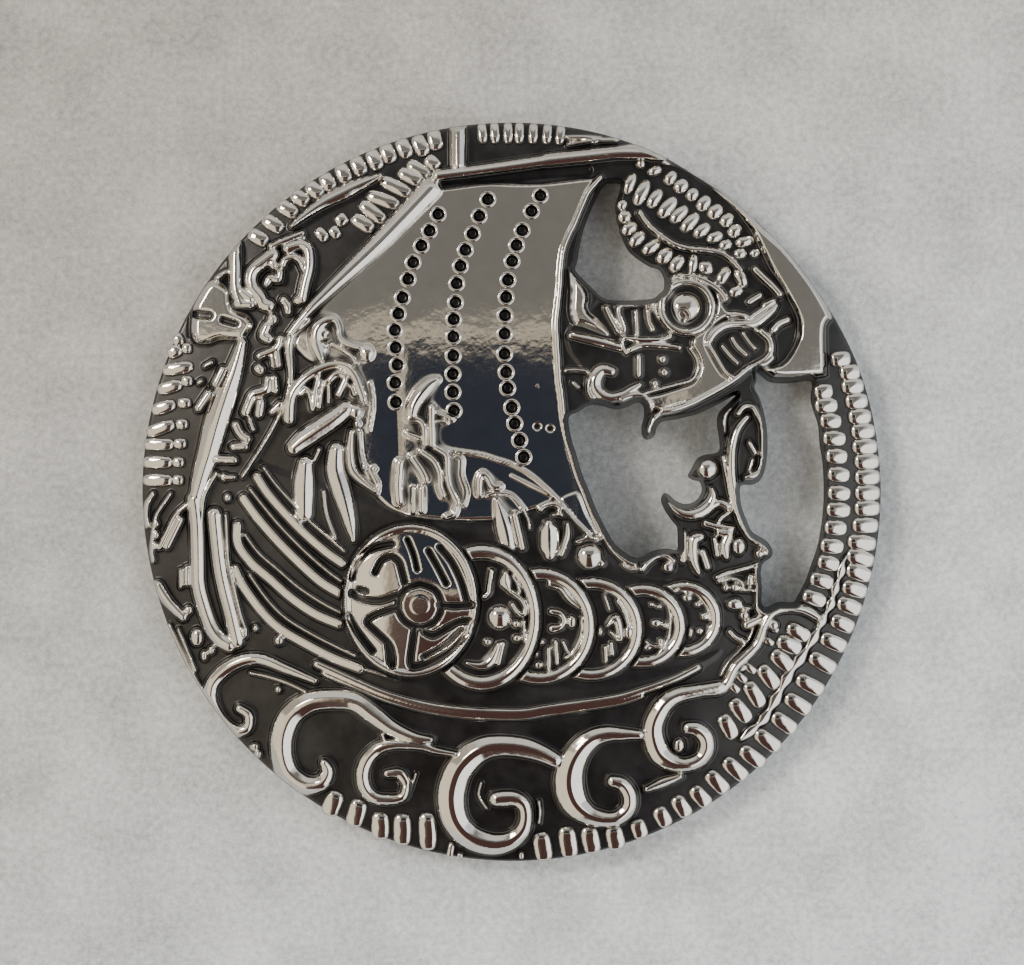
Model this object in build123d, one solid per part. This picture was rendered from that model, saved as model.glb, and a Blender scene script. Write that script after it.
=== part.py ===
"""Viking ship brooch: a domed, pierced, cast white-metal disc with raised relief,
and its pin, in mm. The disc rests on its rim at z = 0 and the picture's up is +Y.

Positions in the tables are shares of the disc's radius, in thousandths:
u to the right and v up from the disc's middle. Sizes and heights are mm.
"""
from build123d import *
from build123d.topology import SkipClean
import math
import os

# Driving sizes
DISC_DIAMETER = 45.0
DOME_RISE = 3.2          # middle of the plate's front above its edge
PLATE_THICKNESS = 1.3    # wall of the casting between front and back
LAND_WIDTH = 1.5         # flat ring under the rim that the brooch rests on
FIELD_SHARE = 990.0      # the plain plate ends here, rim ridges run on to the edge
RIDGE_SINK = 0.7         # how far each relief body reaches down into the plate
ARC_STEP = 20.0          # degrees that a curved line turns between two straight runs
RUNS_PER_SPAN = 2        # straight runs between two points of a smooth outline
SHIELD_SIDES = 20
LAND_COVER = 0.1         # the land under the rim ends this far below the front
BAR_INSET = 0.30         # how far a bar's sides lean in, as a share of its width
BAR_SINK = 0.8           # how much of the sink a bar reaches down, as a share
BAR_SPREAD = 0.4         # how much of its lean a bar keeps below the plate
CREST_SHARE = 0.7        # a wave's width at its crest, as a share of its own width
WINDING = 1.5            # how late a wave's scroll tightens towards its eye
SHIELD_STEP = 0.25       # a shield's board lies this far below its rim
SHIELD_BOSS_STEP = 0.15  # a shield's boss stands this far above its rim
SHIELD_BOSS_RING = 16.0  # width of the groove round the big shield's boss
BEAST_PIT_FLOOR = 0.25   # floor of the beast's eyes above the plate

PIN_DIAMETER = 0.9
PIN_LENGTH = 21.0
PIN_HEIGHT = 1.10        # middle of the pin wire above the resting plane
PIN_POINT = 1.8          # tapered end of the wire
PIN_TIP = 0.12           # radius of the wire's very end
HINGE_LENGTH = 3.0
HINGE_WIDTH = 2.6
CATCH_LENGTH = 1.6
CATCH_WIDTH = 2.2
BOSS_COVER = 0.2         # the bosses end this far below the front
PIN_GAP = 0.05           # between the pin's foot and the boss that it is set on
BOSS_DIAMETER = 4.2
BOSS_OFFSET = 9.5        # bosses left and right of the middle
PIN_LINE = -9.0          # the pin lies below the middle, where no gap shows it

RADIUS = DISC_DIAMETER / 2
SHARE = RADIUS / 1000.0
FRONT_SPHERE = (RADIUS**2 + DOME_RISE**2) / (2 * DOME_RISE)
APEX = PLATE_THICKNESS + DOME_RISE
CENTRE_Z = APEX - FRONT_SPHERE
CLEAR_ABOVE = APEX + 3.0  # height that lies above all of the relief

# Relief tables
# Pierced gaps: smooth closed outlines, a row for each named stretch of the edge.
GAP_UPPER = {
    "sail side": [(240, 810), (205, 735), (182, 650), (174, 596)],
    "ear side": [(215, 550), (255, 520), (330, 515), (395, 530)],
    "mane side": [(411, 562), (375, 606), (315, 650), (285, 742), (292, 832)],
}
GAP_LOWER = {
    "sail side": [(157, 200), (175, 100), (210, 0), (255, -100), (325, -173)],
    "shield side": [(365, -165), (418, -153), (446, -130), (405, -30)],
    "figure side": [(438, -22), (490, -27), (512, 8), (477, 48), (520, 99), (560, 115)],
    "jaw side": [(556, 205), (603, 260), (500, 210), (405, 188), (366, 142)],
    "barb side": [(352, 230), (280, 222), (205, 232)],
}
GAP_RIGHT = {
    "border side": [(663, 325), (722, 294), (805, 298)],
    "rim side": [(812, 230), (840, 80), (835, -100), (794, -239), (757, -297)],
    "prow side": [(682, -304), (672, -212), (703, -160), (640, -90), (615, 16)],
    "flag side": [(680, 50), (690, 125), (672, 250)],
}

# Rows of rim ridges: angles from +X, a centre radius, and one bar's size in shares.
RIM_ROWS = {
    # name: (first angle, last angle, count, radius, length, width, height mm)
    "left": (180.5, 155.5, 9, 956, 88, 33, 0.62),
    "left beads": (180.5, 155.5, 9, 893, 24, 28, 0.52),
    "top left": (143.5, 101.5, 13, 962, 76, 26, 0.60),
    "top": (94.5, 82.5, 7, 964, 72, 20, 0.60),
    "right outer": (22.0, -87.5, 39, 958, 84, 29, 0.62),
    "right inner": (18.5, -17.5, 13, 874, 64, 28, 0.60),
    "bottom left": (263.5, 240.5, 7, 958, 84, 33, 0.60),
}

# Straight bars: ends, width in shares, height above the plate in mm.
BARS = {
    # name: (u0, v0, u1, v1, width, height)
    "mast head": (-142, 882, -142, 985, 44, 0.75),
    "yard left": (-196, 848, 100, 891, 36, 0.80),
    "yard right": (90, 890, 404, 914, 38, 0.80),
    "top bar 1": (-420, 740, -390, 704, 24, 0.50),
    "top bar 2": (-408, 776, -335, 730, 24, 0.50),
    "top bar 3": (-390, 800, -303, 764, 24, 0.50),
    "top bar 4": (-356, 832, -268, 798, 24, 0.50),
    "top bar 5": (-303, 862, -248, 834, 24, 0.50),
    "top bar 6": (-270, 878, -213, 846, 22, 0.50),
    "post above eye": (-738, 655, -738, 528, 22, 0.70),
    "arm": (-446, 216, -582, 112, 42, 0.85),
    "leg 1": (-566, 68, -568, -50, 34, 0.60),
    "leg 3": (-470, 124, -464, 30, 34, 0.60),
    "nose": (-211, 225, -209, 124, 26, 0.90),
    "tunic left": (-298, 90, -300, -20, 24, 0.75),
    "tunic right": (-180, 98, -166, 0, 32, 0.75),
    "cone": (-25, -22, -2, -150, 44, 0.70),
    "jar": (110, -78, 116, -172, 66, 0.75),
    "bow": (-78, 52, -64, -12, 40, 0.65),
    "prow leg 2": (492, -118, 496, -212, 30, 0.70),
    "prow leg 3": (548, -104, 575, -172, 34, 0.70),
    "lower row 1": (744, -356, 795, -391, 27, 0.62),
    "lower row 2": (715, -396, 770, -428, 29, 0.62),
    "lower row 3": (694, -434, 752, -478, 29, 0.62),
    "lower row 4": (668, -470, 718, -528, 30, 0.62),
    "lower row 5": (634, -512, 672, -575, 31, 0.62),
    "lower row 6": (596, -556, 630, -616, 30, 0.62),
    "lower row 7": (562, -606, 594, -658, 29, 0.62),
}

# Curved bands, each an arc through three points: width in shares, height in mm.
BANDS = {
    # name: (u0, v0, u1, v1, u2, v2, width, height)
    "sail rope": (-238, 810, -430, 618, -588, 432, 40, 0.75),
    "sail rope lower": (-590, 425, -622, 205, -716, 48, 15, 0.45),
    "sail edge upper": (236, 842, 132, 600, 128, 345, 24, 0.55),
    "sail edge lower": (128, 350, 184, 30, 328, -192, 24, 0.55),
    "border upper": (404, 888, 560, 806, 680, 672, 44, 0.80),
    "border middle": (678, 676, 776, 540, 806, 455, 52, 0.80),
    "border lower": (806, 458, 800, 400, 806, 322, 62, 0.80),
    "strake 1": (-679, 43, -593, -66, -450, -189, 24, 0.62),
    "strake 2": (-716, -15, -610, -144, -456, -269, 24, 0.62),
    "strake 3": (-729, -87, -640, -236, -462, -351, 24, 0.62),
    "strake 4": (-742, -205, -628, -355, -404, -470, 24, 0.62),
    "keel line": (-520, -470, -85, -590, 360, -530, 34, 0.35),
    "stem upper": (-735, 400, -790, 190, -856, -12, 30, 0.75),
    "stem branch 1": (-864, -28, -912, -80, -946, -152, 17, 0.60),
    "stem branch 2": (-860, -30, -846, -210, -801, -392, 24, 0.70),
    "stem branch 3": (-801, -72, -786, -220, -746, -380, 30, 0.70),
    "lower left scroll": (-946, -252, -925, -296, -888, -330, 30, 0.60),
    "lower left edge": (-918, -372, -893, -430, -852, -508, 22, 0.50),
    "rope": (-140, 116, 20, 60, 133, -30, 11, 0.45),
    "jaw": (350, 257, 520, 250, 664, 352, 22, 0.75),
    "cheek": (662, 350, 702, 372, 712, 440, 20, 0.60),
    "upper lip": (530, 395, 600, 455, 712, 500, 30, 0.65),
    "brow": (424, 572, 512, 572, 568, 520, 22, 0.65),
    "curl": (352, 258, 232, 262, 240, 330, 20, 0.55),
    "staff upper": (640, 186, 590, 100, 595, 0, 18, 0.70),
    "staff lower": (594, 6, 612, -78, 690, -156, 18, 0.70),
    "flag": (560, 200, 656, 282, 678, 52, 18, 0.60),
    "crescent arm": (410, -4, 470, -54, 538, 10, 30, 0.65),
    "prow side": (658, -198, 676, -260, 664, -330, 19, 0.60),
    "prow curl": (358, -205, 388, -170, 424, -205, 20, 0.60),
    "hood": (-500, 466, -455, 420, -400, 384, 26, 0.75),
    "bundle rim": (-590, 196, -500, 340, -394, 255, 24, 0.75),
    "leg 3 lower": (-466, 36, -452, -50, -428, -134, 24, 0.60),
    "helmet left": (-276, 205, -252, 258, -214, 296, 34, 0.80),
    "collar": (-270, 200, -232, 180, -226, 112, 22, 0.80),
    "tunic edge": (-226, 110, -192, 72, -194, 2, 22, 0.80),
    "blade upper": (-592, 722, -490, 800, -352, 856, 20, 0.55),
    "knot left": (-626, 640, -694, 585, -654, 504, 28, 0.65),
    "knot right": (-610, 616, -560, 660, -568, 514, 28, 0.65),
    "scroll 1": (-612, 420, -632, 380, -682, 366, 20, 0.55),
    "scroll 2": (-630, 306, -664, 262, -716, 214, 22, 0.55),
}

# Discs: plain round knobs and beads, radius in shares, height in mm.
KNOBS = {
    # name: (u, v, radius, height)
    "face knob": (-386, 374, 24, 0.65),
    "hand": (-414, 212, 24, 0.75),
    "stud 1": (-844, -392, 21, 0.60),
    "stud 2": (-716, -372, 17, 0.55),
    "stud 3": (-624, -398, 18, 0.55),
    "figure head": (515, 65, 34, 0.75),
    "prow bead 1": (598, -252, 13, 0.55),
    "prow bead 2": (598, -302, 14, 0.55),
    "prow nose": (688, -166, 15, 0.60),
    "crest bead": (706, -358, 16, 0.60),
    "purse": (205, -170, 24, 0.60),
    "purse clasp": (234, -186, 16, 0.60),
    "jar lid": (130, -44, 15, 0.60),
    "wave bead 6": (450, -681, 19, 0.60),
}

# Waves, left to right: a lead-in from the crest, then a scroll that winds to its eye.
WAVES = {
    # name: (crest u, v, scroll u, v, outer radius, inner radius,
    #        first angle, turn, width, eye width, height mm)
    "wave 1": (-525, -530, -712, -553, 108, 40, 42, 296, 40, 30, 0.80),
    "wave 2": (-255, -662, -516, -668, 116, 52, 60, 300, 60, 40, 0.95),
    "wave 3": (-165, -700, -318, -758, 70, 24, 92, 268, 34, 26, 0.85),
    "wave 4": (118, -718, -52, -812, 130, 44, 56, 334, 66, 42, 1.00),
    "wave 5": (350, -650, 252, -768, 112, 40, 80, 320, 62, 38, 1.00),
    "wave 6": (560, -524, 458, -648, 104, 40, 68, 322, 54, 40, 1.00),
}
CREST = {
    # the last wave's crest runs up to the rim: (u0, v0, u1, v1, u2, v2, width, height)
    "crest 1": (556, -524, 590, -476, 645, -414, 30, 0.85),
    "crest 2": (640, -418, 672, -370, 690, -326, 28, 0.85),
    "crest 3": (684, -334, 745, -308, 822, -338, 28, 0.85),
}

# Shields, each partly behind the one on its left: half sizes and boss radius.
SHIELDS = {
    # name: (u, v, half width, half height, rim width, boss u, v, radius, height mm)
    "shield 1": (-270, -288, 181, 208, 26, -243, -304, 46, 0.78),
    "shield 2": (-78, -335, 152, 197, 34, -32, -334, 34, 0.66),
    "shield 3": (72, -362, 150, 156, 26, 116, -344, 26, 0.58),
    "shield 4": (220, -368, 135, 136, 26, 282, -352, 24, 0.50),
    "shield 5": (352, -358, 118, 112, 24, 404, -352, 16, 0.42),
    "shield 6": (460, -340, 102, 102, 24, 518, -334, 14, 0.34),
}
SHIELD_GROOVES = {
    # the big shield's cut grooves: (u0, v0, u1, v1, u2, v2, width)
    "upper left": (-424, -226, -398, -160, -318, -136, 22),
    "lobe": (-365, -212, -318, -166, -283, -238, 20),
    "left": (-432, -276, -372, -296, -296, -262, 22),
    "lower left": (-432, -328, -398, -386, -366, -428, 22),
    "hook": (-312, -304, -372, -334, -340, -384, 22),
    "hook end": (-344, -378, -320, -412, -320, -458, 24),
    "right hook": (-254, -366, -268, -420, -272, -470, 20),
    "right hollow": (-262, -462, -160, -432, -106, -352, 20),
    "right": (-196, -302, -150, -304, -102, -300, 18),
    "outer stripe": (-206, -124, -150, -170, -112, -296, 18),
    "inner stripe": (-222, -150, -186, -196, -156, -268, 18),
    "top": (-276, -120, -262, -158, -254, -204, 16),
}
SHIELD_GROOVE_DEPTH = 0.35

# Seams of the sail: rows of rings with a pit, a row for each arc of rings.
SEAMS = {
    # name: (u0, v0, u1, v1, u2, v2, count)
    "seam 1": (-195, 745, -299, 477, -307, 240, 12),
    "seam 2": (-62, 785, -151, 507, -152, 217, 13),
    "seam 3": (79, 795, -16, 472, 34, 93, 16),
}
SEAM_RING = 22.0         # outer radius in shares
SEAM_PIT = 13.5          # pit radius in shares
SEAM_HEIGHT = 0.42

# Mane: rows of slanted beads along arcs.
MANE = {
    # name: (u0, v0, u1, v1, u2, v2, count, bead length, width, slant, height)
    "outer row": (347, 878, 520, 776, 655, 640, 11, 34, 27, 50, 0.60),
    "inner row": (316, 822, 470, 722, 610, 635, 10, 50, 23, 62, 0.60),
    "lower row": (298, 768, 400, 640, 603, 542, 10, 34, 25, 35, 0.60),
}

# Flat raised fields under the lines, smooth closed outlines: height in mm.
FIELDS = {
    "sail": (0.22, [(-205, 822), (-420, 588), (-585, 430), (-600, 300), (-690, 70),
                    (-400, -60), (-60, -80), (140, -60), (300, -175), (200, 0),
                    (140, 200), (122, 450), (150, 670), (232, 842)]),
    "dragon head": (0.30, [(154, 594), (208, 548), (255, 512), (330, 508), (412, 540),
                           (470, 592), (560, 548), (690, 520), (712, 440), (690, 350),
                           (640, 318), (520, 248), (372, 226), (250, 245), (208, 300),
                           (160, 415)]),
    "prow figure": (0.28, [(462, -185), (470, -90), (452, -40), (520, -20), (486, 30),
                           (560, 110), (600, 10), (660, -110), (640, -180), (560, -190),
                           (500, -215)]),
    "beast head": (0.55, [(-862, 498), (-830, 560), (-765, 562), (-700, 480),
                          (-685, 448), (-716, 402), (-780, 402), (-846, 396),
                          (-862, 440)]),
}
EYES = {
    # name: (u, v, ring radius, ring width, ball radius, ring height, ball height)
    "dragon eye": (470, 495, 80, 20, 40, 0.70, 0.85),
}
BEAST_PITS = {
    # name: (u, v, half width, half height)
    "left eye": (-835, 478, 17, 9),
    "right eye": (-757, 465, 13, 9),
}

OUT = "parts"


# Small helpers
def place(u, v):
    """A point of the picture's plane in mm."""
    return (u * SHARE, v * SHARE)


def front_z(x, y, above=0.0):
    """Height of the front surface, or of one that lies above it, at x, y."""
    radius = FRONT_SPHERE + above
    return CENTRE_Z + math.sqrt(radius**2 - x**2 - y**2)


def dome(above):
    """Solid ball whose top is the front surface raised by a height. Its poles lie
    sideways and its seam below, so neither crosses the disc."""
    turned = Plane(origin=(0, 0, CENTRE_Z), x_dir=(0, 0, -1), z_dir=(0, 1, 0))
    return Solid.make_sphere(FRONT_SPHERE + above, turned, -90, 90, 360)


def circle_through(p0, p1, p2):
    """Centre, radius and the three angles of the circle through three points."""
    (x0, y0), (x1, y1), (x2, y2) = p0, p1, p2
    twice = 2 * (x0 * (y1 - y2) + x1 * (y2 - y0) + x2 * (y0 - y1))
    s0, s1, s2 = x0**2 + y0**2, x1**2 + y1**2, x2**2 + y2**2
    cx = (s0 * (y1 - y2) + s1 * (y2 - y0) + s2 * (y0 - y1)) / twice
    cy = (s0 * (x2 - x1) + s1 * (x0 - x2) + s2 * (x1 - x0)) / twice
    return (cx, cy), math.hypot(x0 - cx, y0 - cy)


def arc_points(row, count):
    """Evenly spaced points, with their directions, on the arc of a table row."""
    p0, p1, p2 = place(*row[0:2]), place(*row[2:4]), place(*row[4:6])
    (cx, cy), radius = circle_through(p0, p1, p2)
    first = math.atan2(p0[1] - cy, p0[0] - cx)
    middle = math.atan2(p1[1] - cy, p1[0] - cx)
    last = math.atan2(p2[1] - cy, p2[0] - cx)
    turn = (last - first) % (2 * math.pi)
    if (middle - first) % (2 * math.pi) > turn:
        turn -= 2 * math.pi
    points = []
    for index in range(count):
        angle = first + turn * index / (count - 1)
        heading = angle + math.copysign(math.pi / 2, turn)
        points.append((cx + radius * math.cos(angle), cy + radius * math.sin(angle),
                       heading))
    return points


def flat(corners):
    """Flat face inside straight sides, so its walls stay plane when it is raised."""
    return make_face(Polyline(*corners, close=True))


def steps_of(row):
    """How many straight runs an arc needs, from how far it turns."""
    start, end = arc_points(row, 3)[0][2], arc_points(row, 3)[2][2]
    return max(3, math.ceil(abs(math.degrees(end - start)) / ARC_STEP))


def band_face(row):
    """Flat face of a curved band: its two sides, closed by two straight ends."""
    half = row[6] * SHARE / 2
    centres = arc_points(row, steps_of(row) + 1)
    left = [(x - half * math.sin(a), y + half * math.cos(a)) for x, y, a in centres]
    right = [(x + half * math.sin(a), y - half * math.cos(a)) for x, y, a in centres]
    return flat(left + right[::-1])


def scroll_face(row):
    """Flat face of one wave: a band that winds in to its eye and gets narrower."""
    (crest_u, crest_v, u, v, outer, inner, first, turn, width, eye, _) = row
    steps = math.ceil(abs(turn) / ARC_STEP)
    centres = []
    for index in range(steps + 1):
        t = index / steps
        angle = math.radians(first + turn * t)
        radius = outer + (inner - outer) * t**WINDING
        centres.append((u + radius * math.cos(angle), v + radius * math.sin(angle),
                        width + (eye - width) * t))
    centres.insert(0, (crest_u, crest_v, width * CREST_SHARE))
    left, right = [], []
    for index, (cu, cv, wide) in enumerate(centres):
        before = centres[max(index - 1, 0)]
        after = centres[min(index + 1, len(centres) - 1)]
        heading = math.atan2(after[1] - before[1], after[0] - before[0])
        du, dv = -math.sin(heading) * wide / 2, math.cos(heading) * wide / 2
        left.append(place(cu + du, cv + dv))
        right.append(place(cu - du, cv - dv))
    tip = place(centres[-1][0] + math.cos(heading) * eye / 2,
                centres[-1][1] + math.sin(heading) * eye / 2)
    return flat(left + [tip] + right[::-1])


def smooth_face(points):
    """Closed face whose sides run smoothly through a few points of its outline."""
    corners, count = [], len(points)
    for index in range(count):
        before, here, after, beyond = (points[(index + k) % count] for k in (-1, 0, 1, 2))
        for step in range(RUNS_PER_SPAN):
            t = step / RUNS_PER_SPAN
            u, v = (blend(*axis, t) for axis in zip(before, here, after, beyond))
            corners.append(place(u, v))
    return flat(corners)


def blend(before, here, after, beyond, t):
    """A value on the smooth line between two of four neighbours."""
    slope_in, slope_out = (after - before) / 2, (beyond - here) / 2
    return ((2 * t**3 - 3 * t**2 + 1) * here + (t**3 - 2 * t**2 + t) * slope_in
            + (3 * t**2 - 2 * t**3) * after + (t**3 - t**2) * slope_out)


def round_face(u, v, wide, high=None, sides=10):
    """Many-sided face in place of a disc or an ellipse, sizes in shares."""
    high = wide if high is None else high
    angles = [2 * math.pi * (k + 0.5) / sides for k in range(sides)]
    return flat([place(u + wide * math.cos(a), v + high * math.sin(a)) for a in angles])


def raised(face, above):
    """The part of the plate's front under a flat outline, raised by a height."""
    column = extrude(face, CLEAR_ABOVE)
    return column & shell(above)


def raised_apart(faces, above):
    """The same for many outlines that lie apart, in one step."""
    columns = [extrude(face, CLEAR_ABOVE).solid() for face in faces]
    return Compound(columns) & shell(above)


SHELLS = {}


def shell(above):
    """Solid between the raised front surface and one inside the plate."""
    if above not in SHELLS:
        SHELLS[above] = dome(above) - dome(-RIDGE_SINK)
    return SHELLS[above]


def bar(x, y, heading, length, width, height):
    """A straight bar with sloping sides and ends, set square to the dome."""
    slope = Plane(
        origin=(x, y, front_z(x, y)),
        x_dir=(math.cos(heading), math.sin(heading), 0),
        z_dir=(x, y, front_z(x, y) - CENTRE_Z),
    )
    slope = Plane(origin=slope.origin, x_dir=tangent(slope, heading), z_dir=slope.z_dir)
    foot, top = [], []
    inset = BAR_INSET * width
    spread = inset * RIDGE_SINK / height
    for sx, sy in ((1, 1), (-1, 1), (-1, -1), (1, -1)):
        foot.append(slope.from_local_coords(
            (sx * (length / 2 + spread * BAR_SPREAD), sy * (width / 2 + spread * BAR_SPREAD),
             -RIDGE_SINK * BAR_SINK)))
        top.append(slope.from_local_coords(
            (sx * (length / 2 - inset), sy * (width / 2 - inset), height)))
    faces = [polygon(foot), polygon(top)]
    for index in range(4):
        after = (index + 1) % 4
        faces.append(polygon([foot[index], foot[after], top[after], top[index]]))
    return Solid(Shell(faces))


def tangent(plane, heading):
    """Direction in the plane whose plan view has a heading."""
    normal = plane.z_dir
    level = Vector(math.cos(heading), math.sin(heading), 0)
    return (level - normal * level.dot(normal)).normalized()


def polygon(corners):
    """Flat face through corner points."""
    return Face(Wire.make_polygon([Vector(*c) for c in corners], close=True))


# Sub-parts
def plate():
    """The bare casting: domed plate, flat land under the rim, edge and gaps."""
    disc = Solid.make_cylinder(FIELD_SHARE * SHARE, CLEAR_ABOVE)
    shell = disc & (dome(0.0) - dome(-PLATE_THICKNESS))
    land = Solid.make_cylinder(FIELD_SHARE * SHARE, APEX)
    land = land - Solid.make_cylinder(RADIUS - LAND_WIDTH, APEX)
    land = land & dome(-LAND_COVER)
    return shell + land


def gaps():
    """Columns that pierce the casting."""
    columns = []
    for table in (GAP_UPPER, GAP_LOWER, GAP_RIGHT):
        outline = [point for stretch in table.values() for point in stretch]
        columns.append(extrude(smooth_face(outline), CLEAR_ABOVE))
    return columns


def rim_ridges():
    """The rows of bars round the rim, each pointing at the middle."""
    bodies = []
    for first, last, count, radius, length, width, height in RIM_ROWS.values():
        for index in range(count):
            angle = math.radians(first + (last - first) * index / (count - 1))
            x, y = radius * SHARE * math.cos(angle), radius * SHARE * math.sin(angle)
            bodies.append(bar(x, y, angle, length * SHARE, width * SHARE, height))
    return bodies


def straight_bars():
    """The straight strokes of the ship, the crew and the rim."""
    bodies = []
    for u0, v0, u1, v1, width, height in BARS.values():
        (x0, y0), (x1, y1) = place(u0, v0), place(u1, v1)
        length = math.hypot(x1 - x0, y1 - y0)
        bodies.append(bar((x0 + x1) / 2, (y0 + y1) / 2, math.atan2(y1 - y0, x1 - x0),
                          length, width * SHARE, height))
    return bodies


def curved_bands():
    """The curved strokes."""
    rows = list(BANDS.values()) + list(CREST.values())
    return [raised(band_face(row), row[7]) for row in rows]


def knobs():
    """Round studs and beads."""
    bodies = []
    for u, v, radius, height in KNOBS.values():
        bodies.append(raised(round_face(u, v, radius), height))
    return bodies


def waves():
    """The six scrolls of the sea."""
    return [raised(scroll_face(row), row[-1]) for row in WAVES.values()]


def shields():
    """The row of shields: a raised rim round a lower field, with a boss."""
    bodies, covered = [], None
    for u, v, wide, high, rim, boss_u, boss_v, boss, height in SHIELDS.values():
        outer = round_face(u, v, wide, high, SHIELD_SIDES)
        inner = round_face(u, v, wide - rim, high - rim, SHIELD_SIDES)
        knob = round_face(boss_u, boss_v, boss)
        ring, field = outer - inner, outer
        if covered is not None:
            ring, field, knob = ring - covered, field - covered, knob - covered
        first = covered is None
        low = height if first else height - SHIELD_STEP
        board = raised(field, low)
        if first:
            board = board.cut(*solids_of(shield_grooves()))
        else:
            bodies.append(raised(ring, height))
        bodies.append(board)
        bodies.append(raised(knob, height + SHIELD_BOSS_STEP))
        covered = outer if covered is None else covered + outer
    return bodies


def shield_grooves():
    """Cut grooves of the big shield and the ring round its boss."""
    row = SHIELDS["shield 1"]
    top = row[-1]
    faces = [band_face(groove) for groove in SHIELD_GROOVES.values()]
    faces.append(round_face(row[5], row[6], row[7] + SHIELD_BOSS_RING, sides=16))
    cuts = []
    for face in faces:
        column = extrude(face, CLEAR_ABOVE)
        cuts.append(column & (dome(top + 1.0) - dome(top - SHIELD_GROOVE_DEPTH)))
    return cuts


def seams():
    """Rings along the seams of the sail, open down to the sail."""
    rings = []
    for row in SEAMS.values():
        for x, y, _ in arc_points(row, row[6]):
            u, v = x / SHARE, y / SHARE
            rings.append(round_face(u, v, SEAM_RING) - round_face(u, v, SEAM_PIT, sides=8))
    return [raised_apart(rings, SEAM_HEIGHT)]


def mane():
    """Three rows of slanted beads."""
    bodies = []
    for row in MANE.values():
        count, length, width, slant, height = row[6:11]
        for x, y, heading in arc_points(row, count):
            bodies.append(bar(x, y, heading + math.radians(slant), length * SHARE,
                              width * SHARE, height))
    return bodies


def flat_fields():
    """Raised flat fields below the lines of the ship and the two heads."""
    bodies = [raised(smooth_face(points), height) for height, points in FIELDS.values()]
    bodies[-1] = bodies[-1].cut(*solids_of(beast_pits()))
    return bodies


def eyes():
    """The dragon's eye: a ring, and a ball in its middle."""
    bodies = []
    for u, v, ring, wide, ball, ring_height, ball_height in EYES.values():
        outer = round_face(u, v, ring, sides=20)
        bodies.append(raised(outer - round_face(u, v, ring - wide, sides=20), ring_height))
        bodies.append(raised(round_face(u, v, ball, sides=16), ball_height))
    return bodies


def beast_pits():
    """Sunk eyes of the small head at the upper left."""
    cuts = []
    for u, v, wide, high in BEAST_PITS.values():
        face = round_face(u, v, wide, high, 10)
        cuts.append(extrude(face, CLEAR_ABOVE) & (dome(2.0) - dome(BEAST_PIT_FLOOR)))
    return cuts


def bosses():
    """Two pads cast on the back, which carry the pin."""
    bodies = []
    for side in (-1, 1):
        pad = Pos(side * BOSS_OFFSET, PIN_LINE, PIN_HEIGHT + PIN_DIAMETER / 2 + PIN_GAP)
        pad = pad * Cylinder(BOSS_DIAMETER / 2, APEX, align=(Align.CENTER, Align.CENTER, Align.MIN))
        bodies.append(pad & dome(-BOSS_COVER))
    return bodies


def solids_of(items):
    """All solids of a list of bodies."""
    return [solid for item in items for solid in item.solids()]


def casting():
    """The whole cast brooch in one solid. Groups are joined one after another, so
    that bodies that cross never share a face that both still need."""
    with SkipClean():
        groups = [rim_ridges() + bosses(), straight_bars() + knobs() + mane(), seams(),
                  eyes(), flat_fields(), shields(), waves(), curved_bands()]
        body = plate()
        for group in groups:
            body = body.fuse(*solids_of(group))
        body = body.cut(*solids_of(gaps()))
    return max(body.solids(), key=lambda solid: solid.volume)


def pin_clasp():
    """The pin on the back, one plain piece: wire, hinge end and catch."""
    wire_radius = PIN_DIAMETER / 2
    wire = Pos(0, PIN_LINE, PIN_HEIGHT) * Rot(0, 90, 0) * Cylinder(wire_radius, PIN_LENGTH)
    tip = Pos(PIN_LENGTH / 2, PIN_LINE, PIN_HEIGHT) * Rot(0, 90, 0) * Cone(
        wire_radius, PIN_TIP, PIN_POINT, align=(Align.CENTER, Align.CENTER, Align.MIN))
    hinge = Box(HINGE_LENGTH, HINGE_WIDTH, PIN_DIAMETER)
    hinge = Pos(-BOSS_OFFSET, PIN_LINE, PIN_HEIGHT) * hinge
    catch = Box(CATCH_LENGTH, CATCH_WIDTH, PIN_DIAMETER)
    catch = Pos(BOSS_OFFSET, PIN_LINE, PIN_HEIGHT) * catch
    return wire + tip + hinge + catch


def main():
    os.makedirs(OUT, exist_ok=True)
    export_step(casting(), f"{OUT}/casting.step", write_pcurves=False)
    export_step(pin_clasp(), f"{OUT}/pin_clasp.step", write_pcurves=False)


main()
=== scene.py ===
# Viking ship brooch, lying on a pale surface and seen from straight above.
# Places in the tables are shares of the disc's radius, in thousandths: u to the right
# and v up from its middle. Heights are millimetres above the plain domed front.
import math

import bpy
import numpy as np
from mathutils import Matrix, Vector


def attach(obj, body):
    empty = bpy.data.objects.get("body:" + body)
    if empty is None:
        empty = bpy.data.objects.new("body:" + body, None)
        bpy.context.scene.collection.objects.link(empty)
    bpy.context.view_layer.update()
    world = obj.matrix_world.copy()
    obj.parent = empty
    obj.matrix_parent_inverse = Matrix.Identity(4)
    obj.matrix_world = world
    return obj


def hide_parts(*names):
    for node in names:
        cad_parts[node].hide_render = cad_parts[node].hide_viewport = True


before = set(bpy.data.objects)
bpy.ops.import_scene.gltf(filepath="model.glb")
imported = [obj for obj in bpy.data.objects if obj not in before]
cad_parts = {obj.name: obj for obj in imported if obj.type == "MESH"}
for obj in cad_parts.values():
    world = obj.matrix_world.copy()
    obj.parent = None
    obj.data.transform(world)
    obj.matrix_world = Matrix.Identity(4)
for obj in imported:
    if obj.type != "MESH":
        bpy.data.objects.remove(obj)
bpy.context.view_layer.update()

# Driving sizes of the casting, in mm, the same as its solid has
RADIUS = 22.5
DOME_RISE = 3.2
WALL = 1.3
LAND_INSIDE = 21.0       # inner radius of the flat ring under the rim
BOSSES = ((-9.5, -9.0), (9.5, -9.0))
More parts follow.
